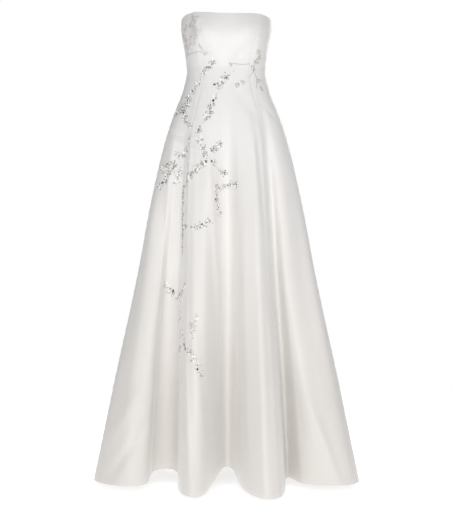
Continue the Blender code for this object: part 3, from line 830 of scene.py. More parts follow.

# %% [markdown]
# ## Sprays of beads and stones
#
# Vines of small leaves run over the wearer's right front. On the real gown each is worked by hand: a line
# of thread with seed beads strung along it, and here and there a sprig of pointed stones and stitched
# leaves round one round stone. We lay each vine out in the front view by a few places its stem passes
# through, in metres across and up. Handwork is uneven, so each row also lists where along its stem,
# from 0 to 1, the sprigs and the long dark stones sit.

# %% Where the stems run
Spray = namedtuple("Spray", "name leaf sprigs long_stones stem")
SPRAYS = [
    Spray("bust vine", 0.0100, (0.02, 0.12, 0.22, 0.40, 0.52, 0.62), (), (
        (-0.038, 0.018), (-0.062, -0.012), (-0.082, -0.048), (-0.106, -0.085), (-0.121, -0.118),
        (-0.118, -0.165))),
    Spray("side patch", 0.0085, (0.00, 0.15, 0.26, 0.36, 0.45, 0.54, 0.63, 0.72, 0.84, 1.00), (), (
        (-0.110, -0.098), (-0.126, -0.120), (-0.122, -0.146), (-0.108, -0.172))),
    Spray("side patch, outer", 0.0070, (0.20, 0.60, 1.00), (), ((-0.124, -0.110), (-0.144, -0.132))),
    Spray("waist vine", 0.0100, (0.15, 0.24, 0.50, 0.60, 0.69, 0.78, 0.98), (0.14, 0.51, 0.97), (
        (0.026, -0.010), (0.002, -0.032), (-0.012, -0.062), (-0.034, -0.095), (-0.042, -0.120),
        (-0.056, -0.148), (-0.082, -0.188))),
    Spray("waist twig", 0.0080, (0.35, 0.90), (0.95,), (
        (-0.010, -0.058), (-0.020, -0.062), (-0.030, -0.055))),
    Spray("hip link", 0.0085, (0.30, 0.62, 0.78), (), (
        (-0.080, -0.190), (-0.078, -0.214), (-0.068, -0.242), (-0.050, -0.268))),
    Spray("hip star, up right", 0.0100, (0.50, 0.78, 0.96), (0.36,), (
        (-0.050, -0.268), (-0.038, -0.248), (-0.022, -0.225))),
    Spray("hip star, down right", 0.0080, (0.30, 0.82, 0.96), (0.12,), (
        (-0.050, -0.268), (-0.034, -0.292), (-0.002, -0.312))),
    Spray("hip star, down left", 0.0090, (0.24, 0.42, 0.60, 0.72, 0.94), (0.14,), (
        (-0.050, -0.268), (-0.076, -0.288), (-0.101, -0.315), (-0.110, -0.345))),
    Spray("right hip spray", 0.0085, (
        0.06, 0.30, 0.38, 0.46, 0.60, 0.67, 0.73, 0.79, 0.85, 0.92, 1.00), (), (
        (-0.098, -0.205), (-0.114, -0.238), (-0.140, -0.260), (-0.162, -0.284), (-0.186, -0.298),
        (-0.205, -0.292))),
    Spray("right hip, lower", 0.0085, (0.12, 0.28, 0.40, 0.50, 0.62, 0.74, 0.96), (0.75,), (
        (-0.152, -0.282), (-0.176, -0.322), (-0.197, -0.350))),
    Spray("right hip, inner", 0.0075, (0.55, 0.76, 1.00), (), (
        (-0.136, -0.258), (-0.136, -0.300), (-0.148, -0.334))),
    Spray("front bar", 0.0065, (0.04, 0.22, 0.40, 0.58, 0.74, 0.90, 1.00), (), (
        (-0.034, -0.352), (-0.004, -0.352), (0.027, -0.344))),
    Spray("front drop", 0.0065, (0.20, 0.34, 0.46, 0.74, 0.98), (), (
        (-0.030, -0.356), (-0.025, -0.392), (-0.016, -0.432))),
    Spray("long stem", 0.0055, (0.02, 0.14, 0.22, 0.31, 0.40, 0.56, 0.70), (), (
        (-0.128, -0.345), (-0.131, -0.420), (-0.129, -0.490), (-0.130, -0.552))),
    Spray("long stem sprig", 0.0065, (0.02, 0.20, 0.42, 0.58, 0.74, 0.88, 1.00), (0.70,), (
        (-0.126, -0.466), (-0.094, -0.470), (-0.052, -0.458))),
    Spray("low spray, left", 0.0090, (0.18, 0.48, 0.70, 1.00), (0.55,), (
        (-0.140, -0.690), (-0.155, -0.664), (-0.177, -0.642))),
    Spray("low spray, right", 0.0095, (0.30, 0.62, 1.00), (0.66,), (
        (-0.140, -0.690), (-0.132, -0.664), (-0.120, -0.640))),
    Spray("low stem", 0.0060, (0.30, 0.80), (), (
        (-0.140, -0.690), (-0.137, -0.770), (-0.138, -0.858))),
    Spray("low vine", 0.0085, (0.05, 0.30, 0.46, 0.62, 0.80, 1.00), (0.34, 0.84), (
        (-0.128, -0.772), (-0.112, -0.812), (-0.089, -0.842), (-0.079, -0.888))),
    Spray("blush sprig", 0.0095, (0.20, 0.48, 0.74, 1.00), (), (
        (-0.104, -0.784), (-0.095, -0.756), (-0.087, -0.731))),
]
WAIST_SPRAYS = [
    Spray("left waist spray", 0.0125, (0.30, 0.62, 0.86, 1.00), (), (
        (0.068, -0.030), (0.080, -0.010), (0.083, 0.014), (0.097, 0.036))),
    Spray("left waist fork", 0.0115, (0.45, 0.85), (), ((0.080, -0.012), (0.090, -0.036), (0.088, -0.060))),
    Spray("left waist twig", 0.0105, (0.55, 0.95), (), ((0.068, -0.030), (0.056, -0.046), (0.038, -0.052))),
    Spray("waist bar", 0.0080, (0.98,), (), ((0.070, 0.009), (0.046, 0.006), (0.018, 0.008))),
    Spray("bodice bar", 0.0080, (0.98,), (), (
        (-0.116, 0.042), (-0.092, 0.042), (-0.080, 0.044), (-0.066, 0.034))),
    Spray("bodice hook", 0.0070, (0.20, 0.90), (), ((-0.080, 0.066), (-0.074, 0.052), (-0.062, 0.036))),
]
BODICE_SPRAYS = [
    Spray("bodice sprig", 0.0160, (0.10, 0.26, 0.42, 0.58, 0.74, 0.92), (), (
        (-0.112, 0.044), (-0.106, 0.072), (-0.094, 0.098), (-0.084, 0.132))),
    Spray("bodice branch", 0.0150, (0.25, 0.60, 0.95), (), (
        (-0.108, 0.062), (-0.120, 0.086), (-0.118, 0.108))),
    Spray("bodice inner", 0.0130, (0.20, 0.60, 0.95), (), (
        (-0.098, 0.050), (-0.086, 0.068), (-0.080, 0.096))),
]
print(len(SPRAYS), "beaded stems,", len(WAIST_SPRAYS) + len(BODICE_SPRAYS), "stitched ones")

# %% [markdown]
# Every small thing is set down onto the cloth and turned to lie along it. The front view gives a place
# across and up, so we have to find which fabric line shows there, and then how the cloth faces at that
# spot.

# %% From the front view to the cloth
SEARCH_LINES = (18.0, 168.0)
SEARCH_STEPS = 30
Spots = namedtuple("Spots", "points outward along")


def front_line(across, up):
    """The fabric line and height that show at a place in the front view. Across falls as the angle grows,
    so the interval of angles is halved until it closes, and the height is corrected for the hem's lift."""
    low = np.full(len(across), SEARCH_LINES[0])
    high = np.full(len(across), SEARCH_LINES[1])
    height = up.copy()
    for _ in range(SEARCH_STEPS):
        middle = (low + high) / 2
        found = cloth_point(middle, height)
        height = np.minimum(height + up - found[:, 2], NECKLINE_HEIGHT)
        beyond = found[:, 0] > across
        low = np.where(beyond, middle, low)
        high = np.where(beyond, high, middle)
    return (low + high) / 2, height


def settle(points, directions):
    """Moves points straight back or forward onto the front of the cloth. The cloth's own direction there is
    the cross product of two short steps on it, and each given direction loses its part along that."""
    degrees, height = front_line(points[:, 0], points[:, 2])
    here, _ = skin(degrees, height)
    step_round, _ = skin(degrees - SLOPE_STEP_DEGREES, height)
    step_down, _ = skin(degrees, height - SLOPE_STEP_HEIGHT)
    outward = unit(np.cross(step_round - here, here - step_down))
    along = unit(directions - (directions * outward).sum(axis=1, keepdims=True) * outward)
    return Spots(here, outward, along)


def stem_places(spray, shares):
    """Places in the front view at shares of a stem's length from 0 to 1, on a smooth curve through the
    stem's own places, and the curve's direction there."""
    places = np.array([(across, 0.0, up) for across, up in spray.stem])
    lengths = np.concatenate([[0.0], np.cumsum(np.linalg.norm(np.diff(places, axis=0), axis=1))])
    where = np.asarray(shares) * lengths[-1]
    ahead = smooth_through(lengths, places, where + SLOPE_STEP_HEIGHT)
    behind = smooth_through(lengths, places, where - SLOPE_STEP_HEIGHT)
    return smooth_through(lengths, places, where), ahead - behind


def spots_on(parts):
    """Many stems' places, settled in one go."""
    return settle(*(np.concatenate(part) for part in zip(*parts)))


def stem_length(spray):
    """The straight length between a stem's places, added up."""
    return np.linalg.norm(np.diff(spray.stem, axis=0), axis=1).sum()


def stepped(spots, turn, step):
    """New spots a step away, in each spot's own direction turned by an angle: cos a along + sin a aside."""
    aside = np.cross(spots.outward, spots.along)
    turn = np.broadcast_to(turn, len(spots.points))[:, None]
    direction = np.cos(turn) * spots.along + np.sin(turn) * aside
    return settle(spots.points + np.reshape(step, (-1, 1)) * direction, direction)


def chosen(spots, which):
    """Spots picked by their numbers."""
    return Spots(*(part[which] for part in spots))


print("the beaded stems are", round(sum(stem_length(spray) for spray in SPRAYS), 2), "m long in all")

# %% [markdown]
# Every bead, stone and leaf here is an outline carried up through a few rings of its own sizes and closed
# by a point below and one above. A round outline gives beads and round stones, a pointed one gives leaves.
# Flat shading on a few facets is what makes a cut stone sparkle, so a low count of faces is right for it.

# %% Small shapes
Shape = namedtuple("Shape", "points triangles")
Tier = namedtuple("Tier", "size height")
LEAF_WIDTH = 0.44
CORD_STEPS = 14
CORD_SIDES = 4
CORD_RADIUS = 0.085


def round_outline(sides):
    """Points (cos a, sin a) round a circle."""
    angle = np.arange(sides) * 2 * np.pi / sides
    return np.stack([np.cos(angle), np.sin(angle)], axis=1)


def pointed_outline(sides):
    """Points (cos a, sin a |sin a|) round a leaf with two sharp ends."""
    circle = round_outline(sides)
    return np.stack([circle[:, 0], circle[:, 1] * np.abs(circle[:, 1])], axis=1)


def tiered(outline, bottom, tiers, top):
    """An outline at each tier's size and height, with one point under the first and one over the last."""
    sides = len(outline)
    layers = [np.column_stack([outline * tier.size, np.full(sides, tier.height)]) for tier in tiers]
    points = np.concatenate([[[0.0, 0.0, bottom]], *layers, [[0.0, 0.0, top]]])
    this = np.arange(sides)
    following = (this + 1) % sides
    under = np.stack([np.zeros(sides, int), 1 + following, 1 + this], axis=1)
    walls = []
    for layer in range(len(tiers) - 1):
        lower = 1 + layer * sides
        upper = lower + sides
        walls.append(np.stack([lower + this, lower + following, upper + following], axis=1))
        walls.append(np.stack([lower + this, upper + following, upper + this], axis=1))
    last = 1 + (len(tiers) - 1) * sides
    over = np.stack([last + this, last + following, np.full(sides, len(points) - 1)], axis=1)
    return Shape(points, np.concatenate([under, *walls, over]))


def seed_bead():
    """A little ball, flattened a touch, whose lowest fifth sinks into the cloth."""
    tiers = [Tier(np.sin(angle), 0.8 - np.cos(angle)) for angle in np.linspace(0.0, np.pi, 6)[1:-1]]
    return tiered(round_outline(8), -0.2, tiers, 1.8)


def round_stone():
    """A cut stone with a girdle, sloping crown facets and a flat table."""
    return tiered(round_outline(8), -0.3, [Tier(0.92, -0.2), Tier(1.0, 0.35), Tier(0.58, 0.95)], 0.95)


def leaf_stone():
    """The same cut on a pointed outline."""
    return tiered(pointed_outline(8), -0.3, [Tier(0.94, -0.2), Tier(1.0, 0.35), Tier(0.52, 1.0)], 1.0)


def stitched_leaf():
    """A soft domed leaf with a low edge."""
    tiers = [Tier(1.0, -0.4), Tier(0.97, 0.35), Tier(0.72, 0.80), Tier(0.38, 0.97)]
    return tiered(pointed_outline(12), -0.5, tiers, 1.0)


def leaf_outline():
    """A closed cord round a pointed leaf: outline + r (cos a outwards + sin a up), carried round it."""
    path = pointed_outline(CORD_STEPS) * [1.0, LEAF_WIDTH]
    ahead = unit(np.roll(path, -1, axis=0) - np.roll(path, 1, axis=0))
    away = np.stack([ahead[:, 1], -ahead[:, 0]], axis=1)
    angle = np.arange(CORD_SIDES) * 2 * np.pi / CORD_SIDES
    flat = path[:, None] + CORD_RADIUS * np.cos(angle)[None, :, None] * away[:, None]
    rise = np.broadcast_to(CORD_RADIUS * (0.5 + np.sin(angle)), flat.shape[:2])
    corner = np.arange(CORD_STEPS * CORD_SIDES).reshape(CORD_STEPS, CORD_SIDES)
    onward = np.roll(corner, -1, axis=0)
    turned = np.roll(corner, -1, axis=1)
    both = np.roll(onward, -1, axis=1)
    halves = [np.stack([corner, onward, both], axis=-1), np.stack([corner, both, turned], axis=-1)]
    points = np.concatenate([flat, rise[..., None]], axis=-1)
    return Shape(points.reshape(-1, 3), np.concatenate(halves).reshape(-1, 3))


for shape in (seed_bead, round_stone, leaf_stone, stitched_leaf, leaf_outline):
    print(shape.__name__, "has", len(shape().triangles), "triangles")

# %% [markdown]
# Hundreds of copies of one shape go into one mesh, worked out as one array: every spot's own three
# directions, stretched by its sizes, carry the shape's points there. Each copy keeps a colour of its own on
# its points.

# %% Many copies in one mesh
def give_tint(piece, colours):
    """Stores a colour at each point."""
    tint = piece.data.attributes.new("tint", "FLOAT_COLOR", "POINT")
    tint.data.foreach_set("color", colours.astype(np.float32).ravel())


def scatter(name, shape, spots, sizes, colours, material, smooth):
    """One mesh of many copies. A point is spot + length x along + width y aside + height z outward."""
    aside = np.cross(spots.outward, spots.along)
    axes = np.stack([spots.along, aside, spots.outward], axis=1) * sizes[:, :, None]
    points = spots.points[:, None, :] + shape.points @ axes
    count = len(shape.points)
    faces = (shape.triangles[None] + (np.arange(len(sizes)) * count)[:, None, None]).reshape(-1, 3)
    uv = shape.points[None, :, :2] * sizes[:, None, :2]
    made = add_mesh(name, points, faces, material, smooth, uv)
    give_tint(made, np.repeat(colours, count, axis=0))
    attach(made, "dress")
    print(f"{name}: {len(sizes)} pieces, {len(faces)} triangles")
    return made


# %% [markdown]
# The stones are glass with a foil behind, so they mirror the room more than they let light through: a metal
# finish under a clear coat says that well. Each carries its own tint. The foil also throws light straight
# back, which facets as few and small as these can't show, so each stone glows a little in its own tint
# instead: a painted glint. Beads are silver-lined, and the thread has the lustre of floss, with the lines
# of its stitches running across each leaf.

# %% Finishes for stones, beads and thread
# Clear stones and beads are near white so that they read as white glints: partly their own clear sparkle,
# partly a painted highlight.
CLEAR = (0.98, 0.98, 0.99, 1.0)
SMOKE = (0.26, 0.26, 0.27, 1.0)
DARK = (0.030, 0.030, 0.034, 1.0)
BLUSH = (0.80, 0.58, 0.50, 1.0)
CHAMPAGNE = (0.82, 0.72, 0.56, 1.0)
IVORY_THREAD = (0.84, 0.82, 0.79, 1.0)
SILVER_CORD = (0.25, 0.245, 0.24, 1.0)
GREY_CORD = (0.30, 0.29, 0.27, 1.0)
PALE_CORD = (0.70, 0.67, 0.665, 1.0)
MID_GREY = (0.5, 0.5, 0.5, 1.0)
WEAR = 0.05
STITCH_PITCH = 0.0004
STITCH_RIDGE = 0.00012
PAINTED_GLINT_GLOW = 0.40


def tinted_finish(name, specks, **sockets):
    """A finish that takes its colour from each small piece's own tint, with a little change over it."""
    finish = Finish(name, **sockets)
    tint = finish.node("ShaderNodeAttribute", {"attribute_name": "tint"})
    worn = finish.noise(finish.object_place(), specks)
    finish.set(base_color=finish.blend(worn * WEAR, tint, MID_GREY))
    return finish, worn, tint


def cut_glass():
    """Foiled glass that glows a little in its own tint: a painted glint."""
    coat = {"coat_weight": 1.0, "coat_roughness": 0.03}
    finish, worn, tint = tinted_finish("cut_glass", 400.0, metallic=0.20, ior=1.6, **coat)
    # Painted glint: each stone glows in its own tint, brightest on the clear and warm stones.
    finish.set(roughness=worn * 0.10 + 0.10, emission_color=tint, emission_strength=PAINTED_GLINT_GLOW)
    return finish.material


def silver_bead():
    """Silver-lined glass beads."""
    coat = {"coat_weight": 0.6, "coat_roughness": 0.08}
    finish, worn, _ = tinted_finish("silver_bead", 700.0, metallic=0.15, **coat)
    finish.set(roughness=worn * 0.20 + 0.12)
    return finish.material


def embroidery_thread():
    """Rayon floss laid side by side."""
    finish, worn, _ = tinted_finish("embroidery_thread", 500.0, sheen_weight=0.3, sheen_roughness=0.35)
    along, _, _ = finish.separate(finish.cloth_place())
    stitches = finish.wave(along, STITCH_PITCH)
    finish.set(roughness=worn * 0.15 + 0.32, normal=finish.bump(stitches, STITCH_RIDGE, 0.8))
    return finish.material


CUT_GLASS = cut_glass()
SILVER_BEAD = silver_bead()
EMBROIDERY_THREAD = embroidery_thread()
print("finishes:", CUT_GLASS.name, SILVER_BEAD.name, EMBROIDERY_THREAD.name)

# %% [markdown]
# A sprig is a few leaves round one middle. Each leaf points away from the middle at its own turn, with some
# jitter in its angle, its length and its distance. All the jitter comes from one generator with a fixed
# seed, so that every run gives the same dress. Stones come dark, smoky or clear, in shares that differ from
# kind to kind, and a few sprigs are warm.

# %% How a sprig is arranged
SPRIG_SWAY = 0.45
TURN_JITTER = 0.35
LENGTH_RANGE = (0.70, 1.25)
BLUSH_BELOW = 0.5
CHAMPAGNE_BELOW = 0.8
Mix = namedtuple("Mix", "dark smoky")
chance = np.random.default_rng(7)


def per_sprig(sprays, value):
    """One value for each spray, repeated for each of its sprigs."""
    return np.repeat([value(spray) for spray in sprays], [len(spray.sprigs) for spray in sprays])


def swayed(spots, sway):
    """Spots moved a little to either side of their stem, still pointing along it."""
    moved = stepped(spots, np.pi / 2, chance.normal(0.0, sway, len(spots.points)))
    return Spots(moved.points, moved.outward, spots.along)


def sprigs_on(sprays):
    """Sprig centres at the shares of each stem that its row gives, swayed by a share of a leaf's length."""
    sway = SPRIG_SWAY * per_sprig(sprays, lambda spray: spray.leaf)
    return swayed(spots_on([stem_places(spray, spray.sprigs) for spray in sprays]), sway)


def leaf_ring(sprigs, leaf, turns, scale, gap, spread):
    """Leaves round every sprig: their middles lie half a leaf, a gap and up to a spread away, at each turn
    with some jitter. Gives the spots, the lengths and the number of the sprig that each belongs to."""
    sprig = np.tile(np.arange(len(leaf)), len(turns))
    turn = np.repeat(turns, len(leaf)) + chance.normal(0.0, TURN_JITTER, len(sprig))
    length = leaf[sprig] * scale * chance.uniform(*LENGTH_RANGE, len(sprig))
    away = length / 2 + gap + chance.uniform(0.0, spread, len(sprig))
    return stepped(chosen(sprigs, sprig), turn, away), length, sprig


def leaf_sizes(lengths, width, height):
    """Half lengths, half widths and heights."""
    return np.column_stack([lengths / 2, lengths * width / 2, np.full(len(lengths), height)])


def stone_colours(count, mix, blush):
    """Dark, smoky or clear stones by the shares of the first two, and warm ones on blush sprigs."""
    draw = chance.uniform(0.0, 1.0, count)[:, None]
    cool = np.where(draw < mix.dark, DARK, np.where(draw < mix.dark + mix.smoky, SMOKE, CLEAR))
    warm = np.where(draw < BLUSH_BELOW, BLUSH, np.where(draw < CHAMPAGNE_BELOW, CHAMPAGNE, CLEAR))
    return np.where(np.broadcast_to(blush, count)[:, None], warm, cool)


def both_of(first, second):
    """Two sets of spots as one."""
    return Spots(*(np.concatenate(pair) for pair in zip(first, second)))


sprigs = sprigs_on(SPRAYS)
leaf = per_sprig(SPRAYS, lambda spray: spray.leaf)
print(len(leaf), "sprigs with stones")

# %% Pointed and round stones
SPRIG_STONE = 0.0015
STONE_HEIGHT = 0.0015
SMALL_STONE_TURNS = (0.30, -0.90, 2.20, -2.40)
SMALL_STONE_LENGTH = 0.60
SMALL_STONE_GAP = 0.0014
SMALL_STONE_SPREAD = 0.0040
SMALL_STONE_MIX = Mix(0.38, 0.18)
LONG_STONE = 0.0105
LONG_STONE_WIDTH = 0.52
LONG_STONE_TILT = 0.7
LONG_STONE_MIX = Mix(1.0, 0.0)
ROUND_STONE_MIX = Mix(0.45, 0.20)
ROUND_SHAPE = np.array([[1.0, 1.0, 0.9]])
BLUSH_SHARES = {"blush sprig": 1.0, "right hip spray": 0.35, "right hip, inner": 0.35}

blush_share = per_sprig(SPRAYS, lambda spray: BLUSH_SHARES.get(spray.name, 0.0))
blush = chance.uniform(size=len(leaf)) < blush_share

small, small_lengths, sprig = leaf_ring(
    sprigs, leaf, SMALL_STONE_TURNS, SMALL_STONE_LENGTH, SMALL_STONE_GAP, SMALL_STONE_SPREAD
)
small_colours = stone_colours(len(sprig), SMALL_STONE_MIX, blush[sprig])
small_sizes = leaf_sizes(small_lengths, LEAF_WIDTH, STONE_HEIGHT)

stem_spots = spots_on([stem_places(spray, spray.long_stones) for spray in SPRAYS if spray.long_stones])
tilt = chance.normal(0.0, LONG_STONE_TILT, len(stem_spots.points))
long_spots = stepped(stem_spots, tilt, np.full(len(tilt), LONG_STONE / 2))
long_lengths = LONG_STONE * chance.uniform(0.8, 1.1, len(tilt))
long_colours = stone_colours(len(tilt), LONG_STONE_MIX, False)
long_sizes = leaf_sizes(long_lengths, LONG_STONE_WIDTH, STONE_HEIGHT)

leaf_spots = both_of(small, long_spots)
leaf_stone_sizes = np.concatenate([small_sizes, long_sizes])
leaf_stone_colours = np.concatenate([small_colours, long_colours])
leaf_stones = scatter("pointed_stones", leaf_stone(), leaf_spots, leaf_stone_sizes, leaf_stone_colours,
                      CUT_GLASS, smooth=False)

round_sizes = SPRIG_STONE * chance.uniform(0.8, 1.2, (len(leaf), 1)) * ROUND_SHAPE
round_colours = stone_colours(len(leaf), ROUND_STONE_MIX, blush)
round_stones = scatter("round_stones", round_stone(), sprigs, round_sizes, round_colours,
                       CUT_GLASS, smooth=False)

# %% [markdown]
# Under and between the stones lie stitched leaves in ivory thread, each edged with a fine silver cord. They
# are what gives a sprig its pale body and its thin grey lines. The sprays at the left waist and on the
# bodice are the same leaves, larger, without stones, and edged with a grey and a pale cord.

# %% Stitched leaves and their cords
THREAD_HEIGHT = 0.0006
THREAD_TURNS = (0.65, -0.45, 1.70)
THREAD_GAP = 0.0008
THREAD_SPREAD = 0.0030
PLAIN_GAP = 0.0010
WAIST_TURNS = (0.60, -0.65, 0.0)
WAIST_SPREAD = 0.0020
BODICE_TURNS = (0.60, -0.65, 0.0, 2.20)
BODICE_SPREAD = 0.0040
CORD_SPREAD = 1.03


def stitched_ring(sprays, turns, spread):
    """The leaves of some sprays that have no stones."""
    lengths = per_sprig(sprays, lambda spray: spray.leaf)
    return leaf_ring(sprigs_on(sprays), lengths, turns, 1.0, PLAIN_GAP, spread)


beaded_ring = leaf_ring(sprigs, leaf, THREAD_TURNS, 1.0, THREAD_GAP, THREAD_SPREAD)
waist_ring = stitched_ring(WAIST_SPRAYS, WAIST_TURNS, WAIST_SPREAD)
bodice_ring = stitched_ring(BODICE_SPRAYS, BODICE_TURNS, BODICE_SPREAD)
spots = both_of(both_of(beaded_ring[0], waist_ring[0]), bodice_ring[0])
counts = [len(ring[1]) for ring in (beaded_ring, waist_ring, bodice_ring)]
lengths = np.concatenate([beaded_ring[1], waist_ring[1], bodice_ring[1]])
ivory = np.tile(IVORY_THREAD, (len(lengths), 1))
stitched_sizes = leaf_sizes(lengths, LEAF_WIDTH, THREAD_HEIGHT)
stitched = scatter("stitched_leaves", stitched_leaf(), spots, stitched_sizes, ivory,
                   EMBROIDERY_THREAD, smooth=True)

cord_sizes = np.repeat(lengths[:, None] / 2, 3, axis=1) * CORD_SPREAD
cord_colours = np.repeat([SILVER_CORD, GREY_CORD, PALE_CORD], counts, axis=0)
cords = scatter("leaf_cords", leaf_outline(), spots, cord_sizes, cord_colours,
                EMBROIDERY_THREAD, smooth=True)

# %% [markdown]
# Seed beads are strung along every beaded stem at an even spacing, with the play that a loose thread gives
# them, and a few more are sewn on singly round each sprig.

# %% Seed beads
BEAD_MIX = Mix(0.40, 0.10)
BEAD_SPACING = 0.0042
BEAD_RADIUS = 0.00110
BEAD_SWAY = 0.0022
LOOSE_BEADS = 6
LOOSE_REACH = (0.0030, 0.0125)


def bead_places(spray):
    """Beads at an even spacing along a stem, with a little play."""
    count = int(stem_length(spray) / BEAD_SPACING)
    return stem_places(spray, (np.arange(count) + chance.uniform(0.1, 0.9, count)) / count)


def loose_beads(sprigs):
    """A few beads round every sprig, at any turn and a few millimetres away."""
    near = chosen(sprigs, np.repeat(np.arange(len(sprigs.points)), LOOSE_BEADS))
    turn = chance.uniform(-np.pi, np.pi, len(near.points))
    return stepped(near, turn, chance.uniform(*LOOSE_REACH, len(near.points)))


strung = swayed(spots_on([bead_places(spray) for spray in SPRAYS]), BEAD_SWAY)
seed_spots = both_of(strung, loose_beads(sprigs))
seed_count = len(seed_spots.points)
seed_sizes = BEAD_RADIUS * chance.uniform(0.75, 1.25, (seed_count, 1)) * ROUND_SHAPE
seed_colours = stone_colours(seed_count, BEAD_MIX, False)
seeds = scatter("seed_beads", seed_bead(), seed_spots, seed_sizes, seed_colours, SILVER_BEAD, smooth=True)

# %% [markdown]
# Under the beads runs each stem's own thread, a raised line a millimetre thick. A few stems have a
# silver-grey thread, the rest an ivory one that hardly shows on the satin.

# %% Thread stems
STEM_RADIUS = 0.00050
STEM_LIFT = 0.4
STEM_SIDES = 6
STEM_STEP = 0.0020
FEWEST_RINGS = 4
DARK_STEMS = ("waist bar", "bodice bar", "bodice hook", "left waist spray", "left waist fork", "long stem")


def tube_faces(rows, first):
    """The faces of one tube whose points begin at a given number: a band of four-sided faces between each
    pair of rings, and two that close each end."""
    corner = first + np.arange(rows * STEM_SIDES).reshape(rows, STEM_SIDES)
    turned = np.roll(corner, -1, axis=1)
    band = np.stack([corner[:-1], turned[:-1], turned[1:], corner[1:]], axis=-1).reshape(-1, 4)
    start_cap = corner[0, [3, 2, 1, 0]], corner[0, [5, 4, 3, 0]]
    end_cap = corner[-1, [0, 1, 2, 3]], corner[-1, [0, 3, 4, 5]]
    return np.concatenate([band, np.stack(start_cap + end_cap)])


def add_stems(name, sprays):
    """Tubes of thread: a point is stem + r (cos a aside + (sin a + lift) outward), all along each stem."""
    rows = [max(int(stem_length(spray) / STEM_STEP), FEWEST_RINGS) for spray in sprays]
    shares = [np.linspace(0.0, 1.0, count) for count in rows]
    spots = spots_on([stem_places(spray, share) for spray, share in zip(sprays, shares)])
    angle = np.arange(STEM_SIDES)[None, :, None] * 2 * np.pi / STEM_SIDES
    aside = np.cross(spots.outward, spots.along)[:, None]
    ring = np.cos(angle) * aside + (np.sin(angle) + STEM_LIFT) * spots.outward[:, None]
    points = (spots.points[:, None] + STEM_RADIUS * ring).reshape(-1, 3)
    starts = STEM_SIDES * np.concatenate([[0], np.cumsum(rows)[:-1]])
    faces = np.concatenate([tube_faces(count, first) for count, first in zip(rows, starts)])
    uv = np.column_stack([points[:, 0] + points[:, 2], points[:, 0]])
    made = add_mesh(name, points, faces, EMBROIDERY_THREAD, uv=uv)
    thread = [SILVER_CORD if spray.name in DARK_STEMS else IVORY_THREAD for spray in sprays]
    give_tint(made, np.repeat(thread, np.multiply(rows, STEM_SIDES), axis=0))
    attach(made, "dress")
    print(f"{name}: {len(sprays)} stems, {len(faces)} faces")


add_stems("stitched_stems", SPRAYS + WAIST_SPRAYS + BODICE_SPRAYS)

# %% [markdown]
# ## The zip
#
# The centre back closes with a fine coil zip, 0.34 m long, set inside the seam. Its two woven tapes are
# sewn to the seam allowances, and between them runs the coil, which is one thread of nylon turned round and
# round. Seen from inside it is a close row of rounded bars, so we make one bar and repeat it. The slider
# and its pull tab are the frame's own solids and only get their enamel.

# %% Zip sizes and finishes
ZIP_TOP = NECKLINE_HEIGHT - 0.003
ZIP_BOTTOM = NECKLINE_HEIGHT - 0.34
TAPE_WIDTH = 0.012
TAPE_THICKNESS = 0.0006
TAPE_DEPTH = 0.0027
TAPE_EDGE = 0.0007
TAPE_RIB = 0.0008
TAPE_ROWS = 90
TAPE_COLUMNS = 9
COIL_PITCH = 0.0012
COIL_DEPTH = 0.0034
COIL_LEAN = 0.20
COIL_BAR = (0.0019, 0.0005, 0.0006)
TAPE_IVORY = (0.80, 0.78, 0.73, 1.0)
TAPE_SHADE = (0.70, 0.68, 0.63, 1.0)
ENAMEL_IVORY = (0.82, 0.79, 0.73, 1.0)
ENAMEL_WORN = (0.70, 0.67, 0.61, 1.0)


def woven_tape():
    """A close matt tape with ribs across it and a small herringbone along it."""
    finish = Finish("woven_tape", metallic=0.0, sheen_weight=0.2, specular_ior_level=0.3)
    across, along, _ = finish.separate(finish.cloth_place())
    zigzag = finish.wave(across, TAPE_RIB)
    ribs = (along * (2 * np.pi / TAPE_RIB) + zigzag * 1.5).math("SINE")
    clouds = finish.noise(finish.object_place(), 60.0)
    finish.set(base_color=finish.blend(ribs * 0.25 + clouds * 0.5, TAPE_IVORY, TAPE_SHADE))
    finish.set(roughness=0.78 + clouds * 0.12, normal=finish.bump(ribs, 0.00012, 0.8))
    return finish.material


def nylon():
    """Moulded nylon: satin-smooth, with a faint haze."""
    finish = Finish("nylon_coil", metallic=0.0, ior=1.53)
    haze = finish.noise(finish.object_place(), 900.0)
    finish.set(base_color=finish.blend(haze, TAPE_IVORY, TAPE_SHADE), roughness=0.32 + haze * 0.15)
    return finish.material


def enamel():
    """Ivory enamel on cast metal: a clear coat over colour that pools and thins, with handling marks."""
    finish = Finish("ivory_enamel", metallic=0.25, coat_weight=0.7, coat_roughness=0.12)
    place = finish.object_place()
    pooled = finish.noise(place, 260.0, detail=3.0)
    marks = finish.noise(finish.stretched(place, 3000.0, 3000.0, 500.0), 1.0, detail=2.0)
    finish.set(base_color=finish.blend(pooled, ENAMEL_IVORY, ENAMEL_WORN), roughness=0.26 + marks * 0.18)
    finish.set(normal=finish.bump(pooled + marks * 0.3, 0.00006, 0.6))
    return finish.material


WOVEN_TAPE = woven_tape()
NYLON = nylon()
ENAMEL = enamel()
for node in ("zip_slider", "zip_pull_tab"):
    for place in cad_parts[node].material_slots:
        place.material = ENAMEL
print("slider and pull tab enamelled")

# %% [markdown]
# Tapes and seam allowances are alike to a dressmaker: narrow strips that lie along the inside of a seam.
# One function makes them all, at a depth below the cloth's face.

# %% Tapes
def strips_inside(seams, heights, reach, depth):
    """Narrow strips on both sides of each seam, inside the dress and at one depth below the cloth's face.
    Their columns lie at set distances from the seam. Gives one grid of points for each strip."""
    lines = []
    for seam in seams:
        line = seam_line(seam, heights)[:, None]
        away = np.asarray(reach)[None, :] * degrees_over(1.0, line, heights[:, None])
        lines += [line + away, line - away[:, ::-1]]
    points, _ = skin(np.concatenate(lines, axis=1), heights[:, None], np.full((1, 1), depth))
    return np.split(points, len(lines), axis=1)


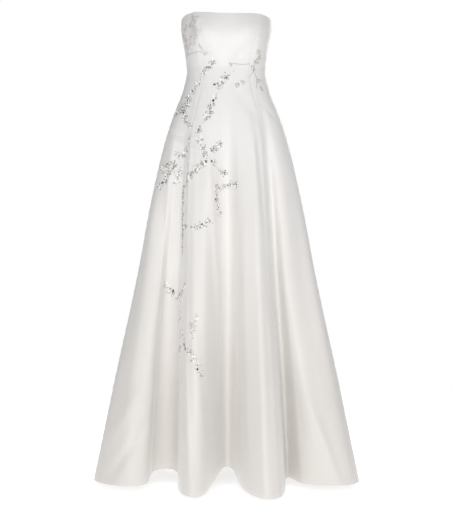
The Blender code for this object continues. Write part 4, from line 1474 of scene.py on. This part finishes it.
tape_heights = np.linspace(ZIP_TOP, ZIP_BOTTOM, TAPE_ROWS)
tape_reach = np.linspace(TAPE_EDGE, TAPE_WIDTH, TAPE_COLUMNS)
tape_grids = strips_inside(["centre_back"], tape_heights, tape_reach, TAPE_DEPTH)
for node, points in zip(("zip_tape_left", "zip_tape_right"), tape_grids):
    faces = grid_faces(TAPE_ROWS, TAPE_COLUMNS)
    tape = add_mesh(f"{node}_woven", points, faces, WOVEN_TAPE, uv=flat_layout(points))
    thicken(tape, TAPE_THICKNESS)
    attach(tape, "dress")
    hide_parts(node)
    print(f"{tape.name}: {TAPE_ROWS} x {TAPE_COLUMNS} points")

# %% The coil
def inside_spots(degrees, height, depth, turned):
    """Spots inside the cloth at a depth, facing in. Along runs up the cloth, turned by an angle."""
    points, outward = skin(degrees, height, np.full(np.shape(degrees), depth))
    above, _ = skin(degrees, np.add(height, SLOPE_STEP_HEIGHT), np.full(np.shape(degrees), depth))
    up = unit(above - points)
    aside = np.cross(outward, up)
    return Spots(points, -outward, np.cos(turned) * up + np.sin(turned) * aside)


def coil_bar():
    """A short rounded bar that bulges at its middle."""
    return tiered(round_outline(8), -0.6, [Tier(0.9, -0.3), Tier(1.0, 0.3), Tier(0.7, 0.8)], 1.0)


coil_heights = np.arange(ZIP_TOP - 2 * COIL_PITCH, ZIP_BOTTOM + 2 * COIL_PITCH, -COIL_PITCH)
coil_count = len(coil_heights)
coil_lean = np.where(np.arange(coil_count) % 2 == 0, COIL_LEAN, -COIL_LEAN)
coil_lines = np.full(coil_count, CENTRE_BACK)
coil_spots = inside_spots(coil_lines, coil_heights, COIL_DEPTH, (np.pi / 2 + coil_lean)[:, None])
coil_sizes = np.tile(COIL_BAR, (coil_count, 1))
coil_colours = np.tile(TAPE_IVORY, (coil_count, 1))
coil = scatter("zip_coil", coil_bar(), coil_spots, coil_sizes, coil_colours, NYLON, smooth=True)

# %% [markdown]
# ## The inside
#
# Inside, every seam is pressed open: each panel has 12 mm of its own satin beyond the stitching, which lies
# back flat. The turned hem and neckline are caught down by hand with small blind stitches. Only someone who
# looks in from above or below sees them, but they are what makes the inside read as sewn.

# %% Seam allowances
ALLOWANCE_WIDTH = 0.012
ALLOWANCE_DEPTH = 0.0010
ALLOWANCE_THICKNESS = 0.0006
ALLOWANCE_INSET = 0.002
ALLOWANCE_ROWS = 190
ALLOWANCE_COLUMNS = np.array([0.00008, 0.002, 0.005, 0.009, ALLOWANCE_WIDTH])


def add_allowances():
    """Two narrow strips along every seam, from under the turned neckline to above the turned hem."""
    heights = np.linspace(NECKLINE_HEIGHT - ALLOWANCE_INSET, HEM_HEIGHT + ALLOWANCE_INSET, ALLOWANCE_ROWS)
    grids = strips_inside(SEWN_SEAMS, heights, ALLOWANCE_COLUMNS, ALLOWANCE_DEPTH)
    one_strip = grid_faces(ALLOWANCE_ROWS, len(ALLOWANCE_COLUMNS))
    count = ALLOWANCE_ROWS * len(ALLOWANCE_COLUMNS)
    faces = np.concatenate([one_strip + number * count for number in range(len(grids))])
    points = np.concatenate([grid.reshape(-1, 3) for grid in grids])
    uv = np.concatenate([flat_layout(grid).reshape(-1, 2) for grid in grids])
    made = add_mesh("seam_allowances", points, faces, SATIN, uv=uv)
    thicken(made, ALLOWANCE_THICKNESS)
    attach(made, "dress")


add_allowances()

# %% [markdown]
# A blind stitch takes one thread of the cloth behind it, so nothing shows outside. Inside it is a short
# slanted dash every 8 mm, near the free edge of what is turned in.

# %% Blind stitches
STITCH_SPACING = 0.008
STITCH_INSET = 0.0020
STITCH_SLANT = 0.25
STITCH_SIZE = (0.0016, 0.0003, 0.0003)


def stitch_line(edge_height, girth, depth):
    """Stitches all the way round at one height, at even angles, each slanting a little."""
    count = int(girth / STITCH_SPACING)
    degrees = np.linspace(0.0, 360.0, count, endpoint=False)
    lean = np.pi / 2 + chance.normal(0.0, STITCH_SLANT, count)
    return inside_spots(degrees, np.full(count, edge_height), depth, lean[:, None])


def blind_stitch():
    """One short stitch, thickest in the middle."""
    return tiered(round_outline(6), -0.5, [Tier(1.0, 0.0), Tier(0.8, 0.7)], 1.0)


turned_depth = 2 * TURN_RADIUS + CLOTH_THICKNESS
hem_stitches = stitch_line(HEM_HEIGHT + HEM_TURN - STITCH_INSET, hem_girth, turned_depth)
neck_stitches = stitch_line(NECKLINE_HEIGHT - NECKLINE_TURN + STITCH_INSET, neckline_girth, turned_depth)
stitch_spots = both_of(hem_stitches, neck_stitches)
stitch_count = len(stitch_spots.points)
stitch_sizes = np.tile(STITCH_SIZE, (stitch_count, 1))
stitch_colours = np.tile(IVORY_THREAD, (stitch_count, 1))
stitches = scatter("blind_stitches", blind_stitch(), stitch_spots, stitch_sizes, stitch_colours,
                   EMBROIDERY_THREAD, smooth=True)

# %% [markdown]
# ## Light and floor
#
# A white gown on white needs soft light from the front, so that its flanks and folds fall off gently, and a
# background a shade brighter than the cloth. The world shows the camera plain white, and lights the cloth
# with a dimmer grey. Two lamps stand low, because the light in a white room also comes off its floor.

# %% Lamps
Lamp = namedtuple("Lamp", "name place target size spread power")
LAMPS = [
    Lamp("key", (-0.5, -3.6, 0.6), (0.0, 0.0, -0.25), 2.2, 180.0, 14.0),
    Lamp("low front", (0.0, -3.3, -1.1), (0.0, 0.0, -0.95), 1.2, 180.0, 35.0),
    Lamp("low front, small", (0.0, -2.2, -1.05), (0.0, 0.0, -0.95), 0.35, 180.0, 9.0),
    Lamp("bodice", (1.9, -2.2, 0.5), (0.05, 0.0, 0.02), 0.8, 30.0, 0.30),
    Lamp("back", (0.6, 3.4, 1.0), (0.0, 0.0, -0.50), 2.6, 180.0, 105.0),
]


def add_lamp(lamp):
    """A square soft light turned towards its target."""
    data = bpy.data.lights.new(lamp.name, "AREA")
    data.shape = "SQUARE"
    data.size = lamp.size
    data.spread = np.radians(lamp.spread)
    data.energy = lamp.power
    made = bpy.data.objects.new(lamp.name, data)
    made.location = lamp.place
    made.rotation_euler = (Vector(lamp.target) - Vector(lamp.place)).to_track_quat("-Z", "Y").to_euler()
    bpy.context.scene.collection.objects.link(made)


for lamp in LAMPS:
    add_lamp(lamp)
print(len(LAMPS), "lamps")

# %% World and floor
WHITE = (1.0, 1.0, 1.0, 1.0)
SKY = (0.97, 0.985, 1.0, 1.0)
WORLD_LIGHT = 0.335
WORLD_FRONT_GAIN = 0.565
FLOOR_PAINT = (0.93, 0.93, 0.93, 1.0)
FLOOR_GLOW = 0.64
FLOOR_HEIGHT = -1.2365
FLOOR_SIZE = 14.0
FLOOR_FADES_FROM = 1.30
FLOOR_FADES_TO = 2.60


def white_world():
    """White for the camera, and for what the world lights a dimmer grey that is brighter in front of the
    dress than behind it: strength = light times (1 - gain times the direction's y)."""
    world = bpy.data.worlds.new("studio")
    world.use_nodes = True
    nodes = world.node_tree.nodes
    seen = nodes["Background"]
    seen.inputs["Color"].default_value = WHITE
    lit = nodes.new("ShaderNodeBackground")
    lit.inputs["Color"].default_value = SKY
    mixed = nodes.new("ShaderNodeMixShader")
    path = nodes.new("ShaderNodeLightPath")
    join = world.node_tree.links.new
    direction = nodes.new("ShaderNodeTexCoord")
    parts = nodes.new("ShaderNodeSeparateXYZ")
    strength = nodes.new("ShaderNodeMath")
    strength.operation = "MULTIPLY_ADD"
    strength.inputs[1].default_value = -WORLD_LIGHT * WORLD_FRONT_GAIN
    strength.inputs[2].default_value = WORLD_LIGHT
    join(direction.outputs["Generated"], parts.inputs[0])
    join(parts.outputs["Y"], strength.inputs[0])
    join(strength.outputs[0], lit.inputs["Strength"])
    join(path.outputs["Is Camera Ray"], mixed.inputs["Fac"])
    join(lit.outputs["Background"], mixed.inputs[1])
    join(seen.outputs["Background"], mixed.inputs[2])
    join(mixed.outputs["Shader"], nodes["World Output"].inputs["Surface"])
    bpy.context.scene.world = world


def add_floor():
    """A plain pale floor just under the hem. It fades into the white backdrop with distance:
    alpha = 1 - (distance - near) / (far - near), kept between 0 and 1."""
    half = FLOOR_SIZE / 2
    corners = np.array([[-half, -half], [half, -half], [half, half], [-half, half]])
    points = np.column_stack([corners, np.full(4, FLOOR_HEIGHT)])
    paint = Finish("pale_floor", base_color=FLOOR_PAINT, roughness=0.9)
    paint.set(emission_color=WHITE, emission_strength=FLOOR_GLOW)
    length = {"operation": "LENGTH"}
    distance = paint.node("ShaderNodeVectorMath", length, {0: paint.object_place()}, output="Value")
    fade = (FLOOR_FADES_TO - distance) * (1 / (FLOOR_FADES_TO - FLOOR_FADES_FROM))
    paint.set(alpha=paint.limited(fade))
    add_mesh("floor", points, [[0, 1, 2, 3]], paint.material)


white_world()
add_floor()
bpy.context.scene.view_settings.view_transform = "Standard"
print("world and floor, under a hem at", HEM_HEIGHT, "m")

# %% [markdown]
